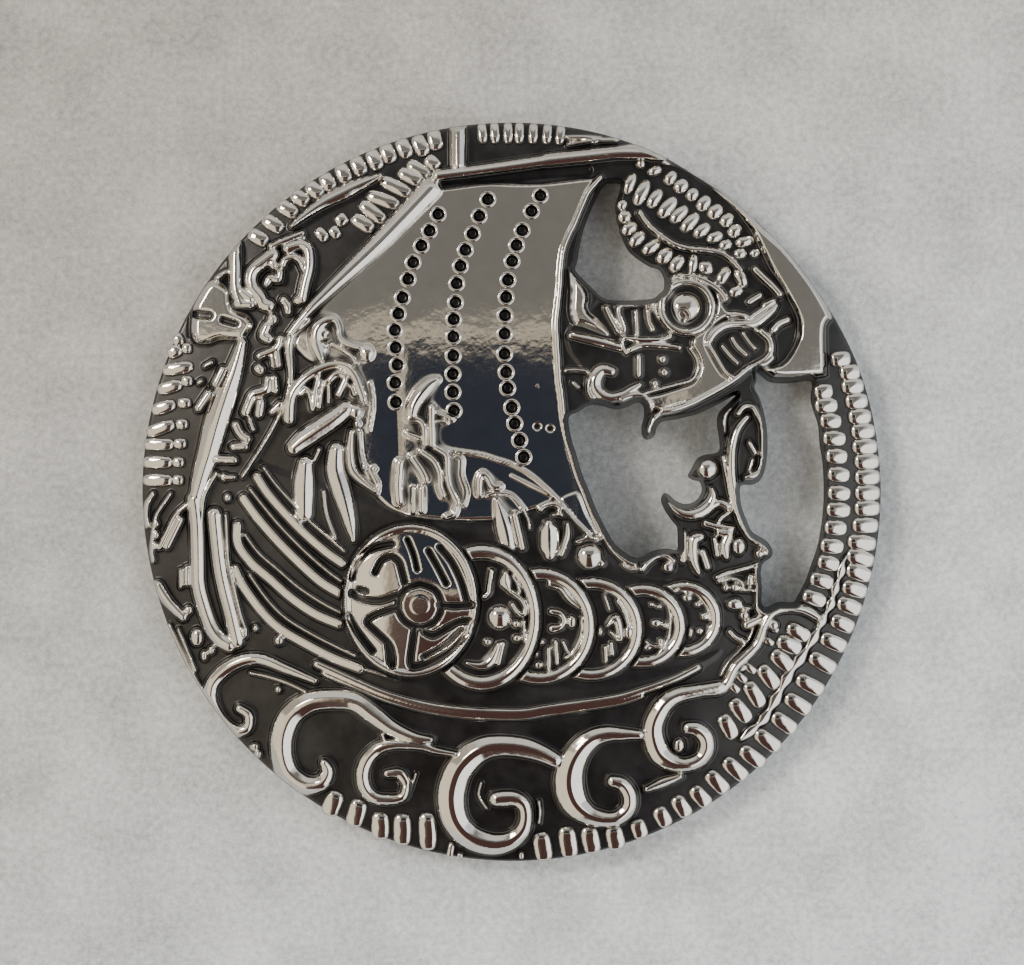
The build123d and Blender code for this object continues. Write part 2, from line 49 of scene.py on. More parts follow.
BOSS_RADIUS = 2.1
BOSS_FOOT = 1.6          # how high a boss's lower face is over the floor
DISC = 1000              # radius of the disc, in shares
SHARE = RADIUS / DISC    # one share, in mm
FRONT_SPHERE = (RADIUS**2 + DOME_RISE**2) / (2 * DOME_RISE)      # radius of the front
CENTRE_Z = WALL + DOME_RISE - FRONT_SPHERE
MM = 0.001               # in metres

# How finely the relief is modelled
CELL = 2.9        # side of one cell, in shares
STEP = 6.0               # length of one straight run of a smooth line, in shares
BLOCK = 8                # cells along one side of a plain block of the back
SOFTEN = 0.6             # cells over which heights and blackening are made soft
GRID_REACH = 1012        # how far the cells go from the middle, in shares
FAR = 1e6                # a distance beyond every other

# Forms of the lines, walls and edges, in shares where no mm is named
WALL_RUN = 6.0           # width of the steep foot of each raised line
CROWN_SLOPE = 0.72       # how steeply a line's top falls to its sides
PLANK_RISE = 1.1         # a plank's top falls this many times as far as a round line's
STUD_SLOPE = 0.9         # how steeply a stud's top falls to its sides
FLAT_SHARE = 0.20        # flat part of a bevelled bar's top
CREST = 0.55             # where a plank's crest lies, from its middle to its upper side
GROOVE_FULL = 1.6        # 1 is a hollow groove, and more gives it a flatter floor
MOAT = 9.0               # width of the dark gap round each shield
BOARD_CUT = 0.85         # depth of a shield's grooves, as a share of its board
GAP_REACH = 60           # how far from a pierced gap its distance is worked out
DRAFT = 15.0             # width of the slanted walls of the pierced gaps
DRAFT_FOOT = 0.25        # upright part of those walls, in mm
DRAFT_TOP = 0.6          # height over the plain front at which their slant ends, in mm
EDGE_ROUND = 9.0         # width of the rounded outer edge
EDGE_DROP = 0.16         # how far that edge is rounded down, in mm
RIM_LOW = 0.10           # the relief's greatest height at the outer edge, in mm
RIM_GAIN = 0.9           # how much more it may have further in, in mm
RIM_RUN = 14             # how far in it has all of that
THINNEST = 0.05          # least metal between front and back, in mm
BACK_CLEAR = 0.2         # cells nearer to a step of the back stay single, in mm

# Blackening, from 0 on polished tops to 1; heights and reaches in mm
GROUND_TOP = 0.235       # what is lower than this is ground and starts to be black
GROUND_FADE = 0.07       # how much lower it is wholly black
RECESS_REACH = 0.30      # how far beside what is high a place is black too
RECESS_START = 0.04      # how much lower than what is round it a place starts to be black
RECESS_FADE = 0.20       # how much lower still it is wholly black
GAP_LEVEL = 0.1          # height that a gap and its walls count as
WALL_RECESS = 0.45       # blackening at the foot of the gaps' walls
BACK_RECESS = 0.34       # blackening of the back
BEAD_GROUND = 0.02       # height up to which a bead or a ring is wholly black
BEAD_FADE = 0.14         # how much higher it is bright

# Outline: how far the edge lies inside a full circle, angle in degrees and share
EDGE_INSET = [(-180, 6), (-150, 9), (-120, 9), (-90, 5), (-60, 3), (0, 3), (20, 4),
              (26, 8), (34, 13), (48, 15), (60, 13), (66, 6), (75, 4), (120, 4), (180, 6)]

# Pierced gaps, at the back where the opening is narrowest
GAPS = {
    "between sail and dragon": [
        (270, 833), (255, 830), (240, 810), (225, 780), (210, 745), (195, 705), (185, 660),
        (178, 620), (172, 598), (190, 575), (215, 550), (235, 530), (250, 520), (270, 515),
        (330, 515), (380, 520), (395, 530), (410, 545), (412, 570), (405, 590), (395, 600),
        (375, 605), (350, 620), (330, 635), (315, 650), (300, 680), (290, 715), (285, 740),
        (280, 770), (290, 800), (295, 830)],
    "between sail and prow": [
        (155, 200), (160, 150), (175, 100), (190, 50), (210, 0), (230, -50), (255, -100),
        (280, -140), (310, -165), (330, -175), (350, -175), (365, -165), (390, -155),
        (420, -152), (445, -155), (447, -130), (445, -95), (430, -75), (410, -45),
        (402, -20), (410, -3), (425, -8), (440, -22), (465, -32), (490, -27), (507, -10),
        (512, 10), (505, 28), (488, 32), (475, 42), (478, 52), (488, 70), (500, 90),
        (520, 100), (548, 104), (560, 115), (558, 150), (553, 185), (560, 215), (590, 245),
        (605, 262), (560, 238), (500, 210), (450, 197), (405, 188), (390, 172), (385, 152),
        (366, 140), (352, 150), (350, 175), (357, 205), (354, 232), (340, 240), (310, 228),
        (280, 222), (240, 232), (212, 233), (180, 215)],
    "between prow and rim": [
        (660, 325), (690, 300), (720, 293), (760, 295), (800, 300), (812, 290), (808, 250),
        (815, 220), (828, 180), (832, 130), (840, 80), (843, 20), (842, -40), (835, -100),
        (825, -150), (808, -200), (794, -239), (770, -285), (760, -297), (718, -297),
        (690, -310), (675, -300), (675, -260), (672, -215), (680, -190), (700, -175),
        (703, -155), (685, -130), (650, -108), (635, -80), (620, -40), (615, 0), (620, 18),
        (650, 20), (672, 35), (685, 70), (690, 120), (688, 170), (680, 215), (668, 255),
        (655, 280), (660, 300)],
}

# Raised fields under the lines: height, width of their sloping edge, outline
FIELDS = {
    "sail": (0.26, 10, [
        (-205, 828), (-300, 725), (-420, 600), (-575, 425), (-560, 360), (-480, 310),
        (-425, 220), (-405, 60), (-300, -60), (-60, -80), (90, -40), (120, -20), (150, -60),
        (205, -110), (290, -160), (345, -200), (268, -150), (220, -50), (180, 50),
        (150, 150), (135, 250), (124, 350), (122, 450), (132, 580), (158, 690), (205, 790),
        (240, 846), (60, 832)]),
    "ear": (0.56, 22, [
        (150, 600), (175, 585), (205, 552), (216, 520), (214, 490), (236, 468), (262, 440),
        (270, 420), (258, 410), (225, 420), (190, 434), (165, 442), (150, 480), (152, 540)]),
    "cheek plate": (0.62, 11, [
        (528, 562), (556, 540), (576, 502), (596, 470), (572, 458), (545, 436), (528, 402),
        (544, 362), (572, 318), (600, 303), (586, 288), (540, 262), (498, 240), (455, 228),
        (402, 215), (372, 226), (355, 256), (400, 268), (450, 284), (484, 298), (500, 330),
        (494, 362), (478, 392), (484, 418), (512, 440), (540, 476), (545, 520)]),
    "jaw bed": (0.14, 10, [
        (150, 440), (215, 500), (250, 520), (395, 530), (430, 575), (520, 590), (600, 560),
        (700, 520), (712, 440), (700, 360), (640, 330), (560, 272), (480, 230), (405, 212),
        (372, 226), (345, 258), (280, 240), (215, 255), (190, 320), (150, 380)]),
    "beast head": (0.60, 22, [
        (-862, 498), (-845, 535), (-825, 565), (-800, 577), (-765, 562), (-748, 540),
        (-742, 502), (-720, 490), (-700, 478), (-685, 450), (-700, 420), (-716, 398),
        (-745, 400), (-780, 402), (-812, 392), (-848, 396), (-866, 425)]),
    "border": (0.78, 17, [
        (398, 905), (404, 880), (450, 872), (500, 842), (550, 804), (600, 757), (640, 702),
        (664, 655), (690, 602), (722, 548), (750, 498), (764, 466), (766, 440), (762, 412),
        (746, 380), (722, 352), (668, 332), (690, 312), (720, 300), (842, 308), (852, 330),
        (852, 440), (868, 470), (846, 520), (800, 592), (750, 652), (700, 697), (650, 745),
        (600, 788), (550, 822), (500, 852), (450, 877)]),
    "sack": (0.18, 26, [
        (-598, 200), (-588, 270), (-550, 318), (-500, 342), (-440, 335), (-405, 285),
        (-392, 235), (-450, 205), (-540, 190)]),
    "crew ground": (0.10, 20, [
        (-690, 85), (-600, 60), (-300, -40), (-60, -90), (140, -40), (300, -190),
        (440, -240), (100, -215), (-140, -130), (-440, -190), (-600, -50)]),
    "rope corner": (0.34, 8, [
        (128, -18), (160, 2), (184, 0), (207, -55), (236, -112), (196, -108), (152, -55)]),
    "hull side": (0.12, 26, [
        (-600, -390), (-460, -430), (-200, -500), (120, -510), (420, -470), (560, -420),
        (520, -470), (300, -545), (0, -580), (-240, -560), (-480, -470)]),
}

# Lines of the relief. Each row: kind of top, width, height, points (u, v), or
# (u, v, width) where the line gets wider. Kinds: bar has two bevels and a flat middle,
# round is a half round wire, plank tilts to its left side.
SHIP_LINES = {
    "mast head": ("bar", 44, 0.90, [(-142, 880), (-142, 982)]),
    "yard left": ("bar", 34, 0.88, [(-198, 850), (-100, 862), (0, 876), (100, 891)]),
    "yard right": ("bar", 40, 0.88, [(95, 891), (200, 903), (300, 913), (404, 910)]),
    "sail rope": ("bar", 60, 0.86, [
        (-215, 815, 64), (-280, 745, 58), (-350, 672, 52), (-420, 605, 44), (-480, 548, 36),
        (-540, 488, 28), (-592, 425, 20)]),
    "sail rope lower": ("bar", 26, 0.62, [
        (-545, 460, 24), (-580, 430, 26), (-592, 405, 28), (-595, 380, 28), (-590, 300, 20),
        (-610, 230, 14), (-640, 165, 14), (-690, 85, 12), (-720, 40, 12)]),
    "sail cord": ("round", 18, 0.50, [
        (240, 845), (210, 810), (195, 780), (170, 720), (155, 690), (140, 650), (133, 600),
        (130, 550), (125, 500), (120, 450), (122, 400), (125, 350), (128, 300), (135, 250),
        (140, 200), (150, 150), (165, 100), (180, 50), (200, 0), (220, -50), (240, -100),
        (270, -150), (300, -180), (330, -195)]),
    "strake 1": ("plank", 29, 0.62, [
        (-680, 41), (-652, -2), (-608, -53), (-551, -111), (-493, -161), (-451, -190)]),
    "strake 2": ("plank", 30, 0.62, [
        (-717, -17), (-680, -67), (-630, -125), (-565, -190), (-507, -241), (-458, -270)]),
    "strake 3": ("plank", 30, 0.62, [
        (-733, -89), (-731, -139), (-695, -190), (-644, -234), (-587, -284), (-522, -327),
        (-462, -352)]),
    "strake 4": ("plank", 30, 0.62, [
        (-740, -207), (-720, -248), (-673, -313), (-623, -363), (-551, -406), (-478, -443),
        (-404, -472)]),
    "seam 1": ("round", 10, 0.60, [
        (-662, 66), (-633, 26), (-589, -24), (-533, -82), (-475, -132), (-445, -158)]),
    "seam 2": ("round", 10, 0.60, [
        (-699, 8), (-661, -40), (-611, -98), (-547, -162), (-489, -212), (-453, -238)]),
    "seam 3": ("round", 10, 0.60, [
        (-712, -114), (-676, -162), (-625, -206), (-569, -254), (-505, -296), (-455, -322)]),
    "seam 4": ("round", 10, 0.60, [
        (-700, -222), (-654, -286), (-604, -336), (-536, -378), (-466, -414), (-416, -438)]),
    "keel upper": ("round", 23, 0.42, [
        (-520, -462), (-404, -513), (-332, -542), (-224, -571), (-115, -585), (22, -589),
        (97, -578), (205, -563), (292, -549), (364, -527), (440, -500), (500, -470)]),
    "keel lower": ("round", 18, 0.38, [
        (-500, -486), (-404, -527), (-332, -556), (-224, -585), (-115, -599), (22, -603),
        (97, -592), (205, -577), (292, -563), (350, -545)]),
    "hull line": ("round", 10, 0.34, [(-590, -392), (-490, -444), (-300, -500)]),
    "stem": ("bar", 60, 0.74, [
        (-722, 400, 30), (-742, 330, 50), (-768, 260, 68), (-792, 185, 70), (-812, 110, 62),
        (-830, 50, 54), (-846, -10, 40)]),
    "stem back": ("round", 14, 0.60, [
        (-790, 50), (-808, 20), (-825, -20), (-832, -100)]),
    "branch 1": ("round", 17, 0.62, [(-866, -32), (-900, -62), (-925, -110), (-945, -150)]),
    "branch 2": ("bar", 44, 0.74, [
        (-852, -20), (-844, -90), (-842, -180), (-840, -250), (-825, -310), (-805, -365),
        (-782, -396), (-758, -410)]),
    "branch 3": ("bar", 42, 0.74, [
        (-796, -60), (-784, -180), (-772, -250), (-752, -330), (-736, -400)]),
    "branch 3 edge": ("round", 11, 0.60, [
        (-764, -60), (-758, -180), (-744, -250), (-724, -330), (-710, -370)]),
    "rope upper": ("round", 10, 0.50, [
        (-200, 125), (-160, 112), (-80, 100), (-40, 88), (0, 75), (50, 48), (90, 15),
        (115, -10), (132, -28), (155, -58), (205, -109)]),
    "rope lower": ("round", 8, 0.42, [(0, 45), (50, 20), (100, -5)]),
}
CREW_LINES = {
    "hood": ("bar", 34, 0.82, [
        (-508, 358, 26), (-522, 398, 38), (-520, 432, 40), (-500, 456, 32), (-474, 462, 22),
        (-462, 444, 20), (-458, 415, 20), (-438, 396, 20), (-402, 386, 18)]),
    "hood edge": ("bar", 17, 0.70, [(-480, 396), (-456, 384), (-428, 366), (-414, 346)]),
    "sack rim": ("bar", 34, 0.84, [
        (-594, 196, 36), (-592, 235, 34), (-582, 268, 32), (-556, 300, 30), (-515, 328, 28),
        (-470, 341, 26), (-436, 332, 28), (-416, 306, 28), (-404, 276, 28), (-394, 248, 26)]),
    "sack fold 1": ("bar", 19, 0.68, [
        (-562, 262), (-546, 276), (-536, 254), (-530, 222)]),
    "sack fold 2": ("bar", 20, 0.72, [(-514, 312), (-521, 280), (-526, 232)]),
    "sack fold 3": ("bar", 15, 0.68, [(-500, 296), (-508, 258), (-511, 226)]),
    "sack fold 4": ("round", 15, 0.70, [(-487, 284), (-487, 240)]),
    "sack fold 5": ("bar", 24, 0.74, [
        (-484, 300), (-464, 316), (-442, 308), (-450, 284), (-460, 262)]),
    "sack fold 6": ("bar", 15, 0.66, [(-446, 288), (-428, 282), (-418, 260)]),
    "arm 1": ("bar", 54, 0.92, [
        (-440, 222, 46), (-470, 198, 50), (-515, 168, 52), (-556, 140, 50), (-582, 118, 40)]),
    "back 1": ("round", 13, 0.46, [(-374, 290), (-368, 232), (-378, 165)]),
    "leg 1": ("bar", 60, 0.70, [(-550, 74, 46), (-554, 20, 60), (-554, -56, 54)]),
    "leg 2": ("round", 15, 0.66, [(-512, 114), (-526, 84)]),
    "leg 3": ("bar", 60, 0.74, [
        (-466, 112, 46), (-468, 60, 56), (-454, 10, 56), (-440, -40, 48), (-428, -90, 36),
        (-420, -128, 18)]),
    "leg 4": ("bar", 28, 0.70, [
        (-426, 160, 20), (-430, 110, 26), (-424, 62, 28), (-402, 34, 24), (-362, 2, 14)]),
    "leg 4 edge": ("round", 11, 0.50, [(-402, 160), (-400, 112), (-391, 72)]),
    "knee": ("round", 11, 0.46, [(-366, 52), (-352, 22), (-356, -6)]),
    "shade 1": ("round", 14, 0.34, [(-500, 0), (-492, -60), (-470, -120)]),
    "helmet": ("bar", 40, 0.86, [
        (-264, 206, 36), (-258, 232, 42), (-240, 262, 44), (-214, 290, 34), (-196, 300, 18)]),
    "face": ("bar", 22, 0.82, [
        (-272, 196), (-246, 192), (-232, 174), (-229, 128)]),
    "nose guard": ("bar", 24, 0.92, [(-212, 226), (-210, 128)]),
    "chin 1": ("bar", 16, 0.70, [(-200, 214), (-180, 206), (-160, 198)]),
    "chin 2": ("round", 12, 0.64, [(-195, 190), (-172, 186)]),
    "collar 2": ("round", 18, 0.72, [(-276, 156), (-244, 144)]),
    "tunic left": ("bar", 30, 0.78, [(-296, 78), (-300, 20), (-298, -22)]),
    "tunic right": ("bar", 22, 0.80, [
        (-238, 108), (-206, 84), (-190, 50), (-188, 16), (-180, -8)]),
    "tunic edge": ("bar", 22, 0.80, [
        (-200, 118), (-172, 98), (-169, 56), (-164, 20), (-154, -4), (-142, -28)]),
    "belt": ("bar", 26, 0.70, [(-262, 92), (-240, 60), (-228, 36)]),
    "leg 5": ("bar", 17, 0.60, [(-260, 10), (-260, -52)]),
    "leg 6": ("bar", 22, 0.66, [(-238, 10), (-238, -48)]),
    "cloak": ("round", 12, 0.52, [
        (-150, 95), (-130, 90), (-130, 46), (-117, 2), (-124, -34)]),
    "boots": ("bar", 20, 0.62, [(-172, -66), (-152, -58), (-146, -36)]),
    "bow": ("bar", 26, 0.72, [
        (-84, -4, 22), (-84, 28, 26), (-76, 48, 24), (-62, 38, 22), (-50, 16, 24),
        (-30, 14, 22)]),
    "bow tail": ("round", 13, 0.50, [(-62, -8), (-40, -2), (-4, -6), (16, -22), (34, -46)]),
    "cone": ("bar", 58, 0.76, [
        (-38, -22, 14), (-26, -58, 42), (-14, -96, 58), (-6, -134, 54)]),
    "cone right": ("bar", 22, 0.78, [(10, -62), (20, -104), (30, -148)]),
    "cone arc": ("round", 10, 0.46, [(36, -52), (46, -72), (50, -98)]),
    "jar": ("bar", 56, 0.78, [(100, -86, 30), (102, -104, 54), (103, -146, 56), (104, -166, 36)]),
    "jar side": ("bar", 21, 0.72, [(150, -84, 14), (150, -116, 22), (134, -166, 20)]),
    "jar lid": ("bar", 17, 0.74, [(78, -46), (94, -36), (116, -32), (134, -42)]),
    "jar neck": ("round", 13, 0.66, [(112, -60), (136, -62)]),
    "ball seat": ("round", 15, 0.60, [(176, -132), (206, -124), (232, -128)]),
    "sheet": ("round", 10, 0.44, [(152, -48), (176, -82), (196, -104)]),
}
PROW_LINES = {
    "staff": ("bar", 23, 0.82, [
        (632, 200, 18), (606, 168, 24), (592, 118, 26), (590, 60, 26), (597, 0, 24),
        (604, -50, 22), (622, -94, 20), (644, -124, 18), (692, -157, 12)]),
    "staff side": ("bar", 15, 0.66, [(566, 96), (575, 50), (584, 0), (594, -46)]),
    "flag edge": ("bar", 19, 0.78, [
        (608, 210), (624, 228), (646, 228), (660, 206), (674, 178, 24), (674, 140, 18),
        (674, 92, 18), (668, 58, 22), (648, 44, 22), (628, 40, 14)]),
    "flag fleck 1": ("round", 15, 0.60, [(638, 132), (654, 104)]),
    "flag fleck 2": ("round", 13, 0.50, [(646, 86), (638, 58)]),
    "flag back": ("round", 22, 0.30, [(566, 160), (572, 210), (600, 244)]),
    "crescent arm": ("bar", 30, 0.74, [
        (410, -12, 14), (430, -38, 22), (462, -58, 28), (500, -56, 34), (530, -36, 34),
        (540, -8, 22), (536, 10, 12)]),
    "crescent tail": ("bar", 24, 0.72, [(534, -40), (556, -28), (578, -38)]),
    "shoulder": ("bar", 22, 0.70, [(520, -84), (550, -92), (590, -98)]),
    "elbow": ("round", 15, 0.66, [(584, -54), (566, -66), (556, -78)]),
    "prow leg 1": ("bar", 22, 0.66, [(461, -112), (460, -182)]),
    "prow leg 2": ("bar", 30, 0.78, [
        (506, -120, 26), (488, -128, 32), (488, -180, 28), (502, -216, 16)]),
    "prow leg 3": ("bar", 22, 0.60, [(512, -160), (526, -200)]),
    "prow leg 4": ("bar", 18, 0.64, [(544, -126), (552, -168)]),
    "prow leg 5": ("bar", 34, 0.78, [
        (556, -108, 24), (582, -112, 30), (572, -142, 32), (576, -172, 22)]),
    "prow nose": ("round", 15, 0.60, [(650, -128), (690, -158)]),
    "box top": ("bar", 16, 0.68, [(550, -228), (575, -217), (620, -206), (658, -194)]),
    "box arch": ("round", 12, 0.60, [(556, -240), (590, -232), (616, -240), (622, -258)]),
    "box right": ("bar", 22, 0.72, [
        (658, -196), (664, -240), (666, -288), (664, -316), (680, -328)]),
    "box foot": ("bar", 28, 0.66, [(632, -356), (654, -346), (676, -336)]),
    "box rung": ("round", 12, 0.56, [(612, -262), (650, -264)]),
    "box rung 2": ("round", 12, 0.54, [(590, -304), (640, -312)]),
    "box crescent": ("bar", 18, 0.60, [(586, -374), (602, -390), (622, -400)]),
    "prow curl": ("bar", 18, 0.62, [
        (352, -206), (364, -190), (388, -172), (414, -170), (434, -184)]),
    "sprig": ("round", 13, 0.52, [(300, -196), (322, -208), (350, -204)]),
}
DRAGON_LINES = {
    "brow": ("bar", 20, 0.74, [
        (426, 566), (458, 578), (500, 575), (534, 560), (560, 540), (576, 518)]),
    "box top 1": ("bar", 13, 0.60, [(258, 515), (376, 517)]),
    "box top 2": ("bar", 13, 0.66, [(288, 499), (330, 502), (372, 503)]),
    "box left 1": ("bar", 19, 0.68, [(256, 492), (270, 462), (290, 428)]),
    "box left 2": ("bar", 19, 0.68, [(288, 494), (288, 476), (302, 432)]),
    "box inner 1": ("bar", 17, 0.40, [(334, 482), (337, 424)]),
    "box inner 2": ("bar", 19, 0.40, [(366, 486), (370, 456), (380, 436)]),
    "box right": ("bar", 23, 0.70, [
        (384, 503, 28), (396, 478, 24), (410, 456, 18), (424, 440, 15), (427, 422, 14)]),
    "box bottom": ("bar", 17, 0.62, [(302, 411), (350, 407), (398, 408), (426, 416)]),
    "lip 1": ("bar", 28, 0.54, [(160, 418, 22), (225, 404, 28), (290, 386, 24)]),
    "lip 2": ("round", 14, 0.60, [(298, 402), (300, 386), (308, 370)]),
    "lip 3": ("bar", 20, 0.58, [(318, 380), (350, 392), (400, 392), (450, 386)]),
    "mouth edge": ("round", 11, 0.68, [
        (478, 384), (496, 356), (498, 326), (482, 300), (440, 287), (400, 276), (356, 264)]),
    "tooth": ("bar", 20, 0.66, [(341, 360), (341, 314)]),
    "curl": ("bar", 40, 0.70, [
        (268, 322, 30), (244, 326, 36), (226, 306, 42), (224, 280, 42), (240, 260, 36),
        (268, 252, 28), (300, 260, 26), (324, 274, 26), (344, 286, 18)]),
    "curl foot": ("bar", 18, 0.66, [(210, 300), (208, 272), (218, 250)]),
    "jaw tip": ("bar", 22, 0.74, [
        (296, 248), (322, 258), (350, 258), (366, 242), (372, 222)]),
    "barb": ("round", 16, 0.62, [
        (404, 214, 14), (386, 200, 18), (376, 180, 17), (367, 160, 14)]),
    "jaw": ("bar", 19, 0.78, [
        (404, 216), (440, 222), (480, 236), (520, 256), (560, 278), (600, 303), (640, 334),
        (680, 344), (700, 360)]),
    "snout wall": ("bar", 15, 0.78, [(528, 398), (550, 360), (576, 318), (596, 306)]),
    "upper lip": ("bar", 25, 0.84, [
        (528, 400, 20), (546, 428, 26), (576, 447, 26), (610, 450, 24), (648, 450, 26),
        (676, 466, 26), (700, 486, 22), (712, 500, 16)]),
    "upper lip 2": ("bar", 18, 0.70, [(680, 502), (706, 512), (664, 482), (640, 466)]),
    "lip knob": ("bar", 24, 0.66, [(584, 474), (606, 474), (628, 470)]),
    "snout slat 1": ("bar", 15, 0.50, [(566, 390), (584, 368), (606, 346)]),
    "snout slat 2": ("bar", 16, 0.52, [(592, 412), (606, 390), (630, 368)]),
    "snout slat 3": ("bar", 14, 0.46, [(622, 426), (640, 400), (654, 386)]),
    "snout edge": ("bar", 22, 0.76, [
        (672, 430), (694, 408), (697, 378), (682, 356), (656, 340)]),
    "nostril": ("round", 13, 0.56, [(652, 438), (676, 420)]),
    "brow spur": ("bar", 22, 0.68, [(656, 598), (676, 578), (700, 556), (722, 532)]),
    "cheek bead": ("bar", 22, 0.66, [(704, 436), (720, 452), (742, 462)]),
    "cheek bead 2": ("round", 20, 0.62, [(640, 510), (668, 528)]),
    "mane vein": ("bar", 18, 0.70, [
        (346, 750), (370, 716), (402, 688), (440, 664), (480, 653), (520, 650), (560, 643),
        (590, 625), (617, 596)]),
    "neck 1": ("round", 14, 0.44, [(146, 324), (172, 326), (202, 322)]),
    "neck 2": ("round", 13, 0.40, [(166, 292), (180, 280)]),
}
STERN_LINES = {
    "post above eye": ("bar", 36, 0.74, [
        (-738, 668, 24), (-742, 640, 32), (-742, 600, 36), (-740, 545, 36), (-728, 508, 30)]),
    "post blob 1": ("bar", 28, 0.72, [(-726, 540), (-700, 520)]),
    "post blob 2": ("bar", 28, 0.70, [(-735, 506), (-698, 504)]),
    "fin": ("bar", 16, 0.60, [(-790, 575), (-770, 590), (-755, 592)]),
    "knot left": ("bar", 38, 0.74, [
        (-640, 638), (-665, 620), (-690, 600), (-700, 575), (-695, 550), (-675, 525),
        (-665, 505), (-650, 500)]),
    "knot bead": ("bar", 30, 0.66, [(-642, 615), (-638, 610)]),
    "knot swirl": ("bar", 25, 0.68, [(-655, 560), (-645, 575), (-625, 570), (-620, 590)]),
    "knot inner": ("bar", 24, 0.68, [
        (-612, 610), (-605, 625), (-580, 632), (-565, 620), (-556, 600)]),
    "knot right": ("bar", 33, 0.76, [
        (-600, 655), (-565, 665), (-545, 650), (-542, 605), (-552, 560), (-560, 520)]),
    "knot foot": ("bar", 26, 0.66, [(-610, 515), (-600, 500), (-598, 485)]),
    "horn": ("bar", 20, 0.60, [(-645, 660), (-600, 680), (-560, 695)]),
    "column 1": ("bar", 30, 0.62, [(-642, 466), (-638, 462)]),
    "column 2": ("bar", 31, 0.64, [(-655, 445), (-665, 420), (-650, 412)]),
    "column 3": ("bar", 24, 0.64, [(-618, 412), (-628, 385), (-675, 365)]),
    "column 4": ("bar", 20, 0.62, [(-628, 390), (-622, 340)]),
    "column 5": ("bar", 20, 0.62, [(-640, 365), (-635, 338)]),
    "column 6": ("bar", 31, 0.62, [(-677, 331), (-673, 328)]),
    "column 7": ("bar", 23, 0.62, [(-635, 305), (-632, 272)]),
    "column 8": ("bar", 30, 0.66, [
        (-650, 300), (-655, 275), (-690, 262), (-702, 240), (-712, 215)]),
    "column 9": ("bar", 28, 0.62, [(-670, 240), (-675, 210)]),
    "column 10": ("bar", 21, 0.62, [(-620, 235), (-640, 215)]),
    "column 11": ("bar", 26, 0.60, [(-738, 180), (-726, 156), (-706, 142)]),
    "column 12": ("round", 16, 0.56, [(-700, 196), (-690, 168)]),
    "column 13": ("bar", 24, 0.58, [(-744, 122), (-712, 122)]),
    "column 14": ("bar", 25, 0.60, [(-790, 88), (-764, 88), (-742, 86)]),
    "column 15": ("round", 16, 0.56, [(-772, 40), (-742, 40)]),
    "left bead 1": ("round", 15, 0.62, [(-822, 338), (-803, 349)]),
    "left bead 2": ("bar", 22, 0.78, [(-775, 330), (-795, 290)]),
    "left bead 3": ("bar", 25, 0.66, [(-812, 265), (-840, 225)]),
    "left bead 4": ("round", 16, 0.56, [(-838, 294), (-832, 298)]),
    "arc by the stem": ("round", 16, 0.55, [
        (-963, -5), (-978, -30), (-982, -60), (-978, -90)]),
    "line by the stem": ("round", 13, 0.50, [
        (-915, -5), (-940, -40), (-958, -75), (-966, -150), (-962, -185)]),
    "strut 1": ("bar", 26, 0.60, [(-890, -75), (-925, -145)]),
    "strut 2": ("bar", 23, 0.56, [(-870, -205), (-870, -245)]),
    "strut 3": ("round", 14, 0.50, [(-888, -210), (-888, -255)]),
    "scroll by the edge": ("bar", 30, 0.66, [
        (-950, -250), (-925, -290), (-898, -320), (-882, -335)]),
    "lower edge": ("bar", 26, 0.58, [
        (-924, -366), (-900, -418), (-872, -476), (-846, -524), (-820, -560)]),
    "lower edge inner": ("round", 12, 0.46, [(-895, -370), (-870, -430), (-850, -480)]),
    "blade": ("bar", 30, 0.78, [
        (-590, 714, 14), (-545, 750, 26), (-500, 780, 36), (-450, 805, 42), (-410, 825, 36),
        (-350, 850, 16)]),
}
